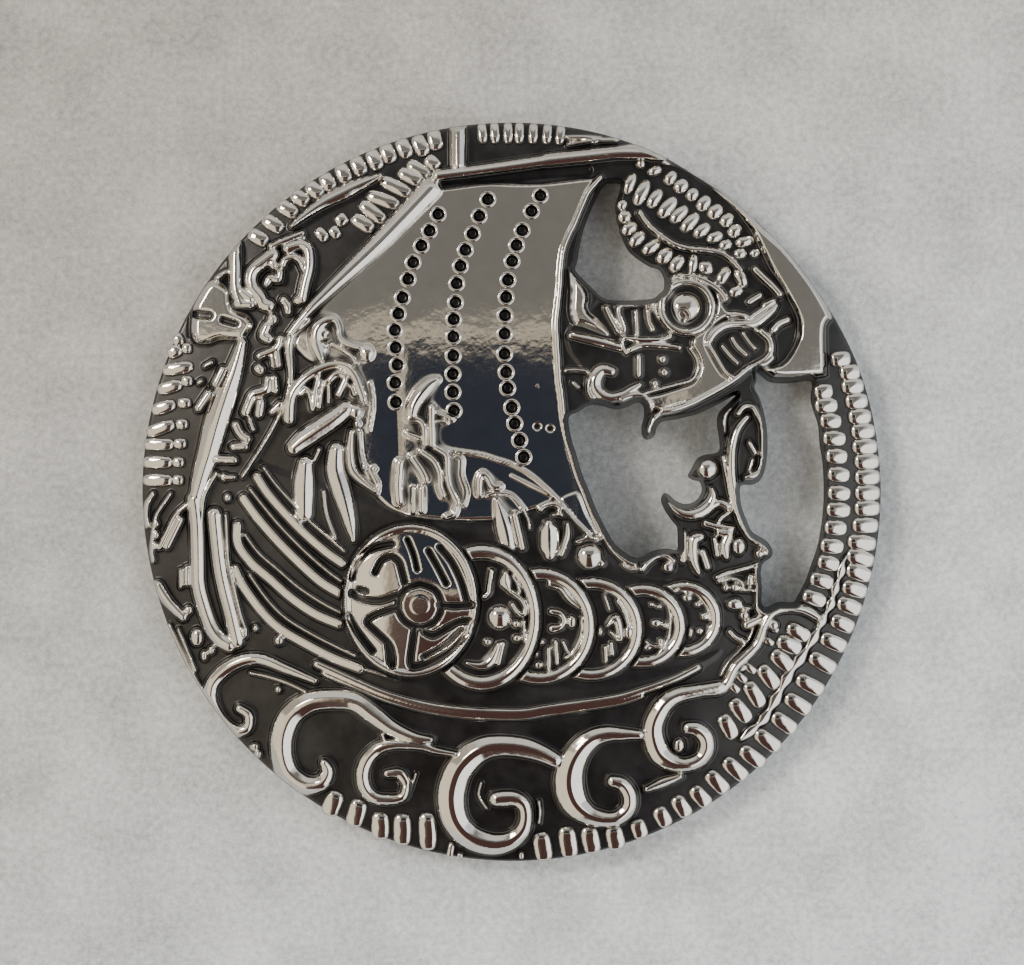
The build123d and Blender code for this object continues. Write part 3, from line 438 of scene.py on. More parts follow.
SEA_LINES = {
    "wave 1": ("bar", 38, 0.82, [
        (-525, -505, 20), (-600, -475, 30), (-680, -447, 36), (-750, -465, 40),
        (-800, -510, 40), (-808, -560, 40), (-785, -610, 38), (-745, -640, 34),
        (-710, -635, 32), (-705, -600, 30), (-730, -582, 28)]),
    "wave 1 inner": ("round", 12, 0.50, [
        (-700, -485), (-650, -496), (-600, -512), (-550, -535)]),
    "wave 2": ("bar", 62, 0.98, [
        (-215, -662, 22), (-262, -656, 34), (-320, -632, 46), (-370, -596, 54),
        (-420, -562, 56), (-480, -556, 58), (-540, -564, 60), (-590, -598, 64),
        (-614, -650, 66), (-616, -706, 64), (-598, -756, 60), (-555, -786, 54),
        (-512, -782, 46), (-492, -752, 38), (-502, -728, 30)]),
    "wave 3": ("bar", 40, 0.88, [
        (-150, -700, 18), (-200, -692, 24), (-250, -678, 30), (-330, -678, 34),
        (-372, -700, 38), (-396, -740, 42), (-396, -785, 42), (-372, -818, 38),
        (-330, -826, 34), (-292, -818, 30), (-282, -795, 28)]),
    "wave 3 head": ("round", 34, 0.80, [(-332, -755, 26), (-300, -754, 32), (-282, -778, 30)]),
    "wave 3 link": ("round", 13, 0.60, [(-345, -650), (-330, -690)]),
    "wave 3 arc": ("round", 8, 0.30, [(-255, -755), (-270, -800)]),
    "wave 4": ("bar", 66, 1.02, [
        (118, -718, 44), (75, -697, 52), (30, -684, 60), (-20, -679, 62), (-65, -684, 66),
        (-105, -706, 72), (-140, -745, 76), (-158, -795, 80), (-160, -840, 78),
        (-148, -885, 74), (-120, -920, 70), (-80, -940, 66), (-35, -946, 60),
        (5, -934, 52), (32, -906, 44), (40, -870, 40), (33, -838, 42), (10, -822, 46),
        (-20, -822, 50), (-38, -824, 46)]),
    "wave 4 arc 1": ("round", 8, 0.40, [(-80, -780), (-86, -815), (-65, -850)]),
    "wave 4 arc 2": ("round", 8, 0.40, [(75, -830), (78, -860), (75, -890)]),
    "wave 5": ("bar", 56, 1.00, [
        (345, -650, 30), (300, -648, 38), (255, -648, 48), (215, -662, 56),
        (182, -695, 66), (160, -740, 78), (156, -790, 84), (172, -835, 76),
        (205, -865, 58), (245, -878, 48), (285, -876, 44), (315, -850, 44),
        (318, -815, 44), (300, -785, 42), (274, -776, 38)]),
    "wave 6": ("bar", 44, 0.96, [
        (558, -522, 36), (500, -533, 38), (445, -545, 44), (410, -570, 50),
        (385, -615, 56), (382, -655, 60), (398, -700, 60), (430, -725, 50),
        (470, -732, 42), (508, -718, 42), (525, -690, 46), (522, -660, 46),
        (502, -638, 44), (477, -633, 38)]),
    "crest 1": ("bar", 30, 0.84, [
        (500, -540, 22), (560, -530, 30), (580, -510, 32), (600, -470, 30), (625, -445, 30),
        (655, -415, 28), (670, -385, 28), (680, -355, 26), (700, -325, 26), (730, -312, 26),
        (770, -312, 26), (800, -322, 26), (825, -337, 24)]),
    "crest 1 line": ("round", 8, 0.50, [
        (562, -492), (582, -455), (612, -424), (636, -396), (648, -368), (658, -338)]),
    "leaf": ("bar", 28, 0.66, [(365, -798, 20), (410, -780, 30), (455, -764, 18)]),
}
RAIL_LINES = {
    "rail": ("round", 20, 0.28, [
        (905, -170, 8), (893, -190, 12), (888, -214, 30), (880, -238, 10), (872, -260, 32),
        (866, -282, 12), (860, -302, 32), (848, -324, 12), (836, -346, 34), (826, -368, 14),
        (814, -392, 36), (796, -420, 16), (776, -450, 40), (758, -475, 18), (740, -502, 40),
        (726, -530, 18), (710, -560, 40), (696, -584, 18), (680, -610, 38), (664, -626, 16),
        (646, -642, 34), (620, -664, 14)]),
    "sprout 1": ("round", 13, 0.60, [(150, 955), (195, 955), (240, 950)]),
    "sprout 2": ("round", 13, 0.60, [(155, 935), (180, 940), (225, 945), (285, 947)]),
}
LINE_GROUPS = (SHIP_LINES, CREW_LINES, PROW_LINES, DRAGON_LINES, STERN_LINES, SEA_LINES,
               RAIL_LINES)

# Round studs and beads: u, v, half sizes along both, height in mm
STUDS = [
    (-386, 372, 24, 27, 0.72), (-508, 425, 24, 22, 0.66), (-506, 382, 20, 24, 0.62),
    (-415, 215, 21, 21, 0.82), (-410, 183, 12, 12, 0.60), (-390, 240, 12, 12, 0.60),
    (-390, 68, 11, 11, 0.55), (-365, 62, 11, 11, 0.55), (-158, 200, 10, 14, 0.62),
    (80, -45, 12, 12, 0.62), (130, -45, 12, 12, 0.62), (205, -120, 13, 12, 0.60),
    (210, -172, 38, 38, 0.78), (240, -190, 13, 12, 0.60), (525, 62, 30, 30, 0.78),
    (610, -145, 20, 25, 0.72), (665, -165, 14, 14, 0.64), (688, -165, 13, 13, 0.64),
    (420, -200, 18, 16, 0.60), (600, -255, 13, 13, 0.60), (575, -255, 12, 12, 0.58),
    (640, -236, 12, 20, 0.58), (600, -300, 24, 18, 0.60), (625, -330, 16, 14, 0.58),
    (405, 355, 13, 13, 0.60), (410, 320, 13, 13, 0.60), (385, 290, 12, 12, 0.56),
    (-770, 40, 14, 14, 0.56), (-760, -15, 12, 14, 0.52), (-570, 515, 16, 16, 0.64),
    (-955, -85, 11, 13, 0.56), (-955, -115, 11, 13, 0.56), (-957, -145, 11, 13, 0.56),
    (-845, -390, 20, 27, 0.66), (-825, -440, 11, 17, 0.56), (-805, -425, 12, 14, 0.54),
    (-868, -318, 15, 15, 0.58), (-715, -378, 12, 18, 0.58), (-622, -398, 15, 15, 0.58),
    (-685, -365, 10, 12, 0.50), (-690, -685, 14, 12, 0.50), (-680, -705, 12, 10, 0.48),
    (-625, -530, 11, 11, 0.44), (451, -680, 17, 22, 0.66), (705, -357, 16, 16, 0.66),
    (225, 945, 14, 12, 0.62), (615, -470, 24, 14, 0.34), (70, 280, 9, 9, 0.34),
]


def ring_round(u, v, radius):
    """Points on a closed circle, in whole shares."""
    angles = [math.radians(45 * k) for k in range(9)]
    return [(u + round(radius * math.sin(a)), v + round(radius * math.cos(a))) for a in angles]


# Shields from left to right, each partly behind the one before it. Centre, half sizes,
# rim width, heights of the rim and of the board in mm, how much the board swells in its
# middle, and studs, raised lines and grooves with their own places.
SHIELDS = [
    {"name": "big shield", "at": (-268, -290), "half": (181, 207), "rim": 22,
     "rim_height": 0.90, "board": 0.62, "swell": 0.36,
     "studs": [(-243, -302, 47, 47, 1.12)],
     "grooves": {
         "boss ring": (19, ring_round(-243, -302, 58)),
         "upper left": (21, [(-424, -228), (-412, -188), (-372, -152), (-318, -138)]),
         "lobe": (20, [(-362, -214), (-346, -184), (-322, -172), (-300, -184), (-290, -214),
                       (-283, -242)]),
         "left": (22, [(-424, -270), (-398, -284), (-352, -290), (-304, -276)]),
         "left pit": (24, [(-404, -262), (-390, -264)]),
         "lower left": (22, [(-434, -330), (-412, -370), (-370, -424)]),
         "hook": (20, [(-304, -308), (-355, -325), (-384, -346), (-358, -374),
                       (-326, -406), (-316, -440), (-317, -464)]),
         "hook pit": (16, [(-330, -408), (-326, -452)]),
         "right hook": (22, [(-256, -364), (-262, -400), (-266, -462), (-222, -455),
                             (-162, -420), (-118, -378), (-106, -350), (-130, -344),
                             (-170, -362), (-206, -382), (-232, -372)]),
         "right hook 2": (20, [(-232, -440), (-176, -408), (-134, -368)]),
         "right": (20, [(-190, -300), (-150, -304), (-102, -300)]),
         "outer stripe": (18, [(-190, -146), (-158, -186), (-132, -240), (-118, -290)]),
         "inner stripe": (17, [(-220, -156), (-196, -198), (-172, -244)]),
         "top": (15, [(-276, -126), (-260, -165), (-250, -206)]),
     }},
    {"name": "shield 2", "at": (-78, -335), "half": (158, 197), "rim": 38,
     "rim_height": 0.80, "board": 0.16,
     "studs": [(-30, -334, 35, 35, 0.74), (14, -352, 13, 12, 0.66),
               (16, -390, 14, 12, 0.66), (-62, -400, 13, 11, 0.50)],
     "lines": {
         "bracket": ("bar", 18, 0.66, [(-52, -210), (-58, -250), (-60, -268), (-72, -278)]),
         "triangle": ("bar", 40, 0.66, [(-14, -218, 20), (-14, -240, 38), (-4, -262, 14)]),
         "triangle edge": ("round", 12, 0.62, [(6, -222), (19, -246), (24, -268)]),
         "strap": ("bar", 17, 0.64, [(-2, -264), (26, -284), (38, -306), (36, -326),
                                     (22, -324), (4, -300)]),
         "crescent": ("bar", 28, 0.68, [(-118, -456, 14), (-82, -464, 26), (-56, -452, 34),
                                        (-40, -424, 24), (-34, -404, 12)]),
         "bar": ("bar", 20, 0.66, [(-22, -405), (-33, -455)]),
         "inner rim": ("round", 13, 0.60, [(34, -345), (37, -398)]),
     }},
    {"name": "shield 3", "at": (76, -358), "half": (150, 158), "rim": 35,
     "rim_height": 0.74, "board": 0.14,
     "studs": [(162, -346, 14, 20, 0.62), (80, -400, 12, 10, 0.50), (64, -432, 11, 11, 0.50),
               (74, -462, 14, 11, 0.54)],
     "lines": {
         "inner": ("bar", 14, 0.60, [(190, -338), (186, -384), (166, -424), (146, -442)]),
         "inner top": ("round", 12, 0.58, [(104, -212), (146, -232), (180, -266), (194, -300)]),
         "leaf": ("bar", 24, 0.64, [(106, -244), (134, -254), (158, -284), (184, -308, 14)]),
         "hook": ("bar", 20, 0.64, [(108, -318), (132, -324), (142, -342), (132, -360),
                                    (110, -364, 26)]),
         "stripe 1": ("bar", 18, 0.60, [(100, -420), (101, -468)]),
         "stripe 2": ("bar", 17, 0.58, [(119, -400), (124, -456)]),
         "stripe 3": ("round", 12, 0.52, [(140, -400), (150, -424)]),
     }},
    {"name": "shield 4", "at": (214, -366), "half": (140, 140), "rim": 34,
     "rim_height": 0.69, "board": 0.13,
     "studs": [(314, -374, 14, 20, 0.62), (236, -372, 12, 14, 0.48)],
     "lines": {
         "inner": ("bar", 16, 0.60, [(286, -290), (304, -320), (314, -352)]),
         "stripes": ("round", 11, 0.50, [(250, -276), (263, -314)]),
         "hand": ("bar", 24, 0.64, [(258, -356, 14), (280, -338, 26), (290, -372, 24),
                                    (292, -396, 12), (266, -374, 12)]),
         "bar 1": ("bar", 17, 0.54, [(252, -416), (254, -450)]),
         "bar 2": ("round", 15, 0.58, [(268, -404), (272, -432)]),
     }},
    {"name": "shield 5", "at": (352, -358), "half": (117, 114), "rim": 34,
     "rim_height": 0.64, "board": 0.12,
     "studs": [(376, -300, 10, 9, 0.50), (396, -306, 11, 9, 0.54), (388, -350, 17, 13, 0.56),
               (412, -356, 11, 11, 0.58), (400, -398, 11, 11, 0.54), (366, -416, 14, 9, 0.50)],
     "lines": {
         "inner": ("round", 11, 0.50, [(358, -260), (396, -278), (420, -308), (426, -350),
                                       (418, -396), (396, -430)]),
         "arc": ("round", 12, 0.54, [(356, -396), (380, -412), (402, -410)]),
     }},
    {"name": "shield 6", "at": (462, -340), "half": (103, 103), "rim": 32,
     "rim_height": 0.58, "board": 0.10,
     "studs": [(472, -282, 16, 12, 0.42), (500, -300, 12, 10, 0.46), (517, -332, 12, 12, 0.52),
               (505, -371, 11, 11, 0.48), (480, -376, 9, 17, 0.46)],
     "lines": {
         "inner": ("round", 11, 0.46, [(466, -256), (500, -276), (524, -308), (530, -340)]),
         "crescent": ("bar", 20, 0.46, [(500, -412), (522, -396), (534, -362)]),
     }},
]

# Cut lines and pits: width, depth in mm, points
CUTS = {
    "under the yard": (30, 0.24, [(-180, 826), (-90, 838), (0, 848), (100, 858), (205, 866)]),
    "eye dimple": (30, 0.32, [(458, 476), (462, 470)]),
    "beast eye left": (26, 0.42, [(-846, 478), (-812, 474)]),
    "beast eye right": (20, 0.42, [(-774, 462), (-740, 452)]),
    "beast gill": (9, 0.12, [(-866, 500), (-866, 420)]),
    "sail eyelet 1": (16, 0.30, [(69, 175), (71, 175)]),
    "sail eyelet 2": (16, 0.30, [(104, 170), (106, 170)]),
}

# Dragon's eye: centre, and for ring, pit and ball the radius and the height in mm
DRAGON_EYE = {"at": (470, 495), "ring": (80, 0.80), "pit": (56, 0.20), "ball": (40, 0.74)}
EYE_FOOT = 0.25          # outer part of the ring's half width that is its steep foot

# Left and right side of the sail's cloth, and how far a seam leans under its last ring
SAIL_SIDES = ([(-238, 812), (-430, 610), (-560, 440), (-480, 200), (-440, 0)],
              [(236, 842), (155, 690), (125, 500), (125, 350), (150, 150), (180, 0)])
SEAM_LEAN = 10
SAIL_REACH = 40          # how far inside the sail's outline its depth is worked out
PANEL_BULGE = 0.05       # how much the cloth swells between two seams, in mm

# Rings of the sail's seams: their places, one row for each seam
SEAM_RINGS = {
    "seam 1": [(-195, 745), (-218, 700), (-240, 660), (-262, 615), (-275, 570),
               (-290, 520), (-301, 477), (-310, 433), (-308, 386), (-303, 340),
               (-309, 292), (-307, 240)],
    "seam 2": [(-62, 785), (-85, 740), (-103, 692), (-122, 648), (-135, 605),
               (-145, 558), (-148, 507), (-153, 462), (-154, 415), (-154, 364),
               (-155, 315), (-155, 267), (-152, 217)],
    "seam 3": [(79, 795), (55, 753), (30, 701), (15, 661), (3, 618), (-8, 567),
               (-13, 521), (-16, 472), (-17, 423), (-17, 369), (-13, 320), (-9, 277),
               (2, 226), (10, 183), (23, 138), (34, 93)],
}
SEAM_PIT = 17            # radius of the pit in a ring
SEAM_PIT_DEPTH = 0.45    # in mm
SEAM_PIT_FULL = 2.0      # 1 is a hollow pit, and more gives it a flatter floor
SEAM_RING = 19.5         # radius of a ring, to the middle of its wire
SEAM_RING_WIRE = 0.20    # half of the wire's thickness, as a share of that radius
SEAM_RING_HEIGHT = 0.28  # of the middle of the wire, in mm

# Rim ridges, row by row: width, then from (u, v) to (u, v)
RIM_RIDGES = {
    "left": (31, [
        (-988, 32, -910, 32), (-988, 80, -910, 80), (-986, 128, -906, 128),
        (-978, 158, -905, 183), (-963, 218, -903, 237), (-948, 273, -885, 290),
        (-935, 325, -855, 339), (-920, 371, -888, 384), (-905, 405, -883, 414)]),
    "left beads": (26, [
        (-905, 32, -880, 32), (-905, 80, -878, 80), (-902, 130, -872, 130),
        (-896, 182, -868, 182), (-892, 239, -860, 239), (-882, 298, -856, 298),
        (-880, 386, -860, 386)]),
    "top": (24, [
        (-75, 938, -79, 988), (-42, 938, -45, 990), (-8, 938, -8, 990), (22, 938, 23, 990),
        (58, 937, 61, 988), (95, 936, 99, 986), (130, 934, 135, 982)]),
    "top left": (36, [
        (-702, 696, -655, 670), (-664, 736, -614, 704), (-624, 774, -576, 744),
        (-586, 802, -546, 776), (-546, 826, -508, 795), (-504, 852, -480, 812),
        (-460, 878, -440, 832), (-420, 898, -398, 852), (-378, 916, -355, 868),
        (-340, 932, -320, 886), (-298, 946, -276, 900), (-255, 956, -231, 905),
        (-210, 970, -197, 920)]),
    "top left inner": (34, [
        (-425, 738, -370, 703), (-405, 776, -338, 725), (-386, 800, -300, 767),
        (-350, 840, -268, 797), (-300, 862, -241, 829), (-275, 885, -220, 845),
        (-225, 897, -196, 870)]),
    "right inner": (37, [
        (815, 268, 862, 272), (816, 232, 876, 233), (830, 192, 886, 189),
        (838, 146, 898, 142), (846, 98, 902, 94), (851, 50, 908, 44), (851, 0, 910, -6),
        (847, -45, 910, -51), (842, -93, 900, -99), (831, -141, 892, -149),
        (824, -184, 880, -198), (804, -230, 864, -247), (784, -275, 844, -297)]),
    "right outer": (38, [
        (860, 355, 910, 359), (885, 320, 936, 323), (890, 283, 946, 285),
        (900, 243, 957, 245), (908, 202, 966, 203), (915, 163, 976, 164),
        (918, 122, 983, 122), (924, 82, 988, 82), (925, 40, 990, 40),
        (925, -2, 990, -3), (924, -43, 990, -44), (918, -88, 986, -91),
        (905, -131, 980, -141), (903, -167, 974, -187), (902, -205, 967, -229),
        (891, -251, 955, -271), (878, -294, 940, -319), (861, -341, 920, -367),
        (833, -389, 900, -419), (803, -439, 872, -479), (768, -499, 840, -537),
        (738, -549, 805, -590), (703, -599, 765, -642), (658, -644, 722, -692),
        (618, -689, 680, -734), (573, -719, 632, -770), (528, -754, 580, -805),
        (487, -795, 531, -841), (440, -820, 476, -870), (393, -850, 421, -896),
        (336, -882, 352, -928)]),
    "lower right inner": (38, [
        (742, -358, 800, -392), (715, -395, 778, -425), (700, -430, 755, -475),
        (668, -468, 715, -525), (632, -512, 675, -575), (592, -558, 640, -615),
        (565, -600, 600, -660)]),
    "bottom": (43, [
        (273, -898, 287, -960), (207, -900, 222, -970), (147, -900, 160, -982),
        (78, -915, 92, -990), (-226, -862, -222, -962), (-292, -865, -292, -948),
        (-352, -862, -350, -932), (-405, -828, -425, -897), (-466, -806, -492, -868)]),
}

# Single beads near the rim: u, v, length, width
RIM_BEADS = [
    (-137, -975, 17, 17), (28, -975, 22, 15), (-162, -962, 46, 20), (-455, 730, 38, 38),
    (-472, 696, 40, 32), (-508, 690, 46, 34), (-565, 683, 36, 28), (640, -472, 44, 24),
    (616, -496, 44, 24), (598, -524, 40, 24), (690, -400, 36, 22), (704, -366, 32, 20)]
RIDGE_HEIGHT = 0.34      # in mm
RIDGE_SINK = 0.10        # how deep ridges and beads sit in the plain front, in mm
RIDGE_EXTRA = 10         # added to a ridge's length, for its rounded ends
RIDGE_SWELL = 1.20       # the foot of a ridge is wider than the bright part of it
RIDGE_FULL = 0.66        # 1 is an egg's form, and less makes it blunter

# Mane beads, row by row: u, v, length, width, slant in degrees
MANE = {
    "outer": [
        (348, 880, 26, 21, 10), (386, 862, 42, 22, 20), (428, 843, 46, 26, 55),
        (457, 821, 46, 30, 45), (487, 798, 42, 27, 50), (518, 775, 52, 29, 52),
        (549, 753, 52, 30, 42), (580, 730, 48, 28, 42), (601, 701, 46, 28, 40),
        (628, 672, 56, 25, 15), (654, 640, 32, 21, 20)],
    "middle": [
        (319, 828, 66, 25, 68), (351, 803, 80, 29, 64), (386, 787, 64, 27, 56),
        (420, 763, 74, 30, 50), (451, 744, 66, 27, 44), (480, 722, 70, 28, 47),
        (512, 701, 58, 27, 40), (547, 683, 50, 25, 24), (575, 662, 40, 24, 20),
        (614, 638, 40, 25, 10)],
    "lower": [
        (297, 768, 34, 24, 62), (304, 736, 42, 29, 18), (317, 705, 52, 27, 32),
        (338, 677, 58, 27, 42), (376, 656, 62, 27, 38), (411, 632, 56, 31, 50),
        (444, 611, 58, 28, 56), (487, 611, 58, 22, 82), (522, 601, 42, 34, 0),
        (569, 580, 58, 27, 58), (616, 574, 58, 27, -66), (602, 536, 46, 25, 25)],
}
MANE_HEIGHT = 0.42       # in mm
MANE_STRETCH = 1.08      # the foot of a bead is longer than the bright part of it
MANE_SWELL = 1.34        # and so much wider
MANE_FULL = 0.86         # 1 is an egg's form, and less makes it blunter

# Pieces of the front, each the cells inside its outline; the sail takes what is left
PIECES = {
    "sea": [(-1100, -330), (-760, -420), (-560, -455), (-420, -505), (-240, -550),
            (0, -575), (300, -530), (520, -455), (600, -410), (660, -380), (690, -310),
            (780, -300), (900, -340), (1100, -480), (1100, -1100), (-1100, -1100)],
    "shields": [(-460, -190), (-370, -90), (-200, -70), (120, -190), (420, -225),
                (700, -190), (690, -310), (660, -380), (600, -410), (520, -455),
                (300, -530), (0, -575), (-240, -550), (-420, -505)],
    "stern": [(-1100, 20), (-700, 30), (-600, 90), (-440, -120), (-460, -190),
              (-420, -505), (-560, -455), (-760, -420), (-1100, -330)],
    "stern_beast": [(-1100, 20), (-700, 30), (-600, 90), (-580, 430), (-200, 840),
                    (-170, 1100), (-1100, 1100)],
    "dragon_head": [(160, 1100), (240, 850), (150, 690), (125, 500), (132, 300),
                    (200, 210), (610, 262), (660, 300), (760, 290), (1100, 330),
                    (1100, 1100)],
    "prow": [(200, 210), (610, 262), (660, 300), (760, 290), (1100, 330), (1100, -480),
             (900, -340), (780, -300), (690, -310), (700, -190), (420, -225),
             (250, -200), (180, 50)],
    "crew": [(-600, 90), (-580, 430), (-330, 430), (-330, 290), (200, 290), (132, 250),
             (180, 50), (250, -200), (120, -190), (-200, -70), (-370, -90), (-460, -190),
             (-440, -120)],
    "sail": None,
}


# Lines, outlines and distances
def smooth(points, closed=False):
    """Points at short steps on a smooth line through a few points."""
    rows = np.array(points, float)
    count = len(rows)
    if count == 2 and not closed:
        return rows
    spans = count if closed else count - 1
    made = []
    for index in range(spans):
        if closed:
            before, here, after, beyond = (rows[(index + k) % count] for k in (-1, 0, 1, 2))
        else:
            before, beyond = rows[max(index - 1, 0)], rows[min(index + 2, count - 1)]
            here, after = rows[index], rows[index + 1]
        runs = max(2, math.ceil(np.hypot(*(after - here)[:2]) / STEP))
        share = np.arange(runs)[:, None] / runs
        made.append(0.5 * (2 * here + (after - before) * share
                           + (2 * before - 5 * here + 4 * after - beyond) * share**2
                           + (3 * here - before - 3 * after + beyond) * share**3))
    if not closed:
        made.append(rows[-1:])
    return np.concatenate(made)


def inset_at(angle):
    """How far the edge lies inside the full circle."""
    angles, insets = zip(*EDGE_INSET)
    return np.interp(angle, angles, insets)


class Grid:
    """Places over the disc, in shares, and for each the relief's height and how far away
    the nearest pierced gap is."""

    def __init__(self):
        half = math.ceil(GRID_REACH / CELL)
        self.first = -half * CELL
        axis = np.arange(2 * half + 1) * CELL + self.first
        self.u, self.v = np.meshgrid(axis, axis, indexing="ij")
        self.height = np.zeros_like(self.u)
        self.gap = np.full_like(self.u, DISC)

    def window(self, points, reach):
        """The part of the grid round some points."""
        low = (np.min(points, axis=0)[:2] - reach - self.first) / CELL
        high = (np.max(points, axis=0)[:2] + reach - self.first) / CELL
        edges = [(max(int(a), 0), min(int(b) + 2, len(self.u))) for a, b in zip(low, high)]
        return slice(*edges[0]), slice(*edges[1])

    def near(self, line, reach):
        """Distance to a line, side of it and its width, in the window round it."""
        where = self.window(line, reach)
        u, v = self.u[where], self.v[where]
        best = np.full_like(u, FAR)
        side = np.ones_like(u)
        wide = np.zeros_like(u)
        starts = self.first + where[0].start * CELL, self.first + where[1].start * CELL
        for a, b in zip(line[:-1], line[1:]):
            low = np.minimum(a, b)[:2] - reach
            high = np.maximum(a, b)[:2] + reach
            part = tuple(slice(max(int((low[k] - starts[k]) / CELL), 0),
                               max(int((high[k] - starts[k]) / CELL) + 2, 0)) for k in (0, 1))
            du, dv = u[part] - a[0], v[part] - a[1]
            run_u, run_v = b[0] - a[0], b[1] - a[1]
            share = (du * run_u + dv * run_v) / max(run_u**2 + run_v**2, 1e-9)
            share = np.clip(share, 0, 1)
            off_u, off_v = du - share * run_u, dv - share * run_v
            distance = np.hypot(off_u, off_v)
            nearer = distance < best[part]
            best[part] = np.where(nearer, distance, best[part])
            turn = np.where(run_u * off_v - run_v * off_u >= 0, 1.0, -1.0)
            side[part] = np.where(nearer, turn, side[part])
            if len(a) > 2:
                width = a[2] + share * (b[2] - a[2])
                wide[part] = np.where(nearer, width, wide[part])
        return where, best, side, wide

    def inside(self, outline, where):
        """Whether each place of a window lies inside a closed outline."""
        u, v = self.u[where], self.v[where]
        within = np.zeros(u.shape, bool)
        for a, b in zip(outline, np.roll(outline, -1, axis=0)):
            if a[1] == b[1]:
                continue
            crosses = (a[1] > v) != (b[1] > v)
            at = a[0] + (v - a[1]) * (b[0] - a[0]) / (b[1] - a[1])
            within ^= crosses & (u < at)
        return within

    def depth_in(self, points, reach):
        """How far inside a smooth closed outline each place lies, negative outside."""
        outline = smooth(points, closed=True)
        ring = np.concatenate([outline, outline[:1]])
        where, distance, _, _ = self.near(ring, reach)
        within = self.inside(outline, where)
        # what is out of reach counts as a little farther, so that the slopes stay mild
        distance = np.minimum(distance, reach * 4)
        return where, np.where(within, distance, -distance)

    def edge_depth(self):
        """How far inside the outer edge each place lies."""
        angle = np.degrees(np.arctan2(self.v, self.u))
        return DISC - inset_at(angle) - np.hypot(self.u, self.v)


def snap(grid, depth):
    """Moves the places that lie nearest to an edge onto it, and says which they are."""
    slope_u, slope_v = np.gradient(depth, CELL)
    steep = np.maximum(np.hypot(slope_u, slope_v), 0.5)
    near = np.abs(depth) < 0.5 * CELL
    shift = np.where(near, -depth / steep, 0.0)
    grid.u = grid.u + shift * slope_u / steep
    grid.v = grid.v + shift * slope_v / steep
    return near


# The relief
def crown(kind, x, side):
    """Height of a line's top at x of its half width, from 0 at its foot to 1."""
    if kind == "bar":
        return np.clip((1 - x) / (1 - FLAT_SHARE), 0, 1)
    if kind == "plank":
        across = -side * x
        return np.clip(np.minimum((1 - across) / (1 + CREST), (1 + across) / (1 - CREST)), 0, 1)
    return np.sqrt(np.clip(1 - x**2, 0, 1))


def raise_line(grid, kind, width, height, points):
    """Raises one line of the relief."""
    rows = [(*point, width)[:3] for point in points]
    reach = max(row[2] for row in rows) / 2 + 2 * CELL
    where, distance, side, wide = grid.near(smooth(rows), reach)
    half = np.where(wide > 0, wide, width) / 2
    times = {"bar": 1 - FLAT_SHARE, "plank": PLANK_RISE, "round": 1.0}[kind]
    rise = np.minimum(half * SHARE * CROWN_SLOPE * times, height)
    foot = np.clip((half - distance) / WALL_RUN + 0.5, 0, 1)
    top = (height - rise) + rise * crown(kind, np.clip(distance / half, 0, 1), side)
    grid.height[where] = np.maximum(grid.height[where], foot * top)


def raise_stud(grid, u, v, wide, high, height):
    """Raises one round stud."""
    where = grid.window([(u, v)], max(wide, high) + 2 * CELL)
    x = np.hypot((grid.u[where] - u) / wide, (grid.v[where] - v) / high)
    half = min(wide, high)
    rise = min(half * SHARE * STUD_SLOPE, height)
    foot = np.clip((1 - x) * half / WALL_RUN + 0.5, 0, 1)
    top = (height - rise) + rise * np.sqrt(np.clip(1 - x**2, 0, 1))
    grid.height[where] = np.maximum(grid.height[where], foot * top)


def cut_lines(grid, rows):
    """Cuts rounded grooves; where two cross, the deeper one counts."""
    cut = np.zeros_like(grid.height)
    for width, depth, points in rows:
        where, distance, _, _ = grid.near(smooth(points), width / 2 + 2 * CELL)
        x = np.clip(distance / (width / 2), 0, 1)
        cut[where] = np.maximum(cut[where], depth * np.clip((1 - x**2) * GROOVE_FULL, 0, 1))
    grid.height -= cut


def raise_field(grid, height, slope, points):
    """Raises one flat field with a sloping edge."""
    where, depth = grid.depth_in(points, slope + 2 * CELL)
    share = np.clip(depth / slope, 0, 1)
    grid.height[where] = np.maximum(grid.height[where], height * share)


def bulge_panels(grid):
    """The cloth between two seams of the sail swells a little."""
    seams = [rings + [(rings[-1][0] + SEAM_LEAN, 0)] for rings in SEAM_RINGS.values()]
    rows = [SAIL_SIDES[0], *seams, SAIL_SIDES[1]]
    where, depth = grid.depth_in(FIELDS["sail"][2], SAIL_REACH)
    v = grid.v[where]
    sides = []
    for row in rows:
        heights, places = zip(*sorted((b, a) for a, b in row))
        sides.append(np.interp(v, heights, places))
    u = grid.u[where]
    swell = np.zeros_like(u)
    for left, right in zip(sides[:-1], sides[1:]):
        across = np.clip((u - left) / np.maximum(right - left, 1), 0, 1)
        swell += PANEL_BULGE * 4 * across * (1 - across)
    grid.height[where] += np.where(depth > 0, swell, 0)


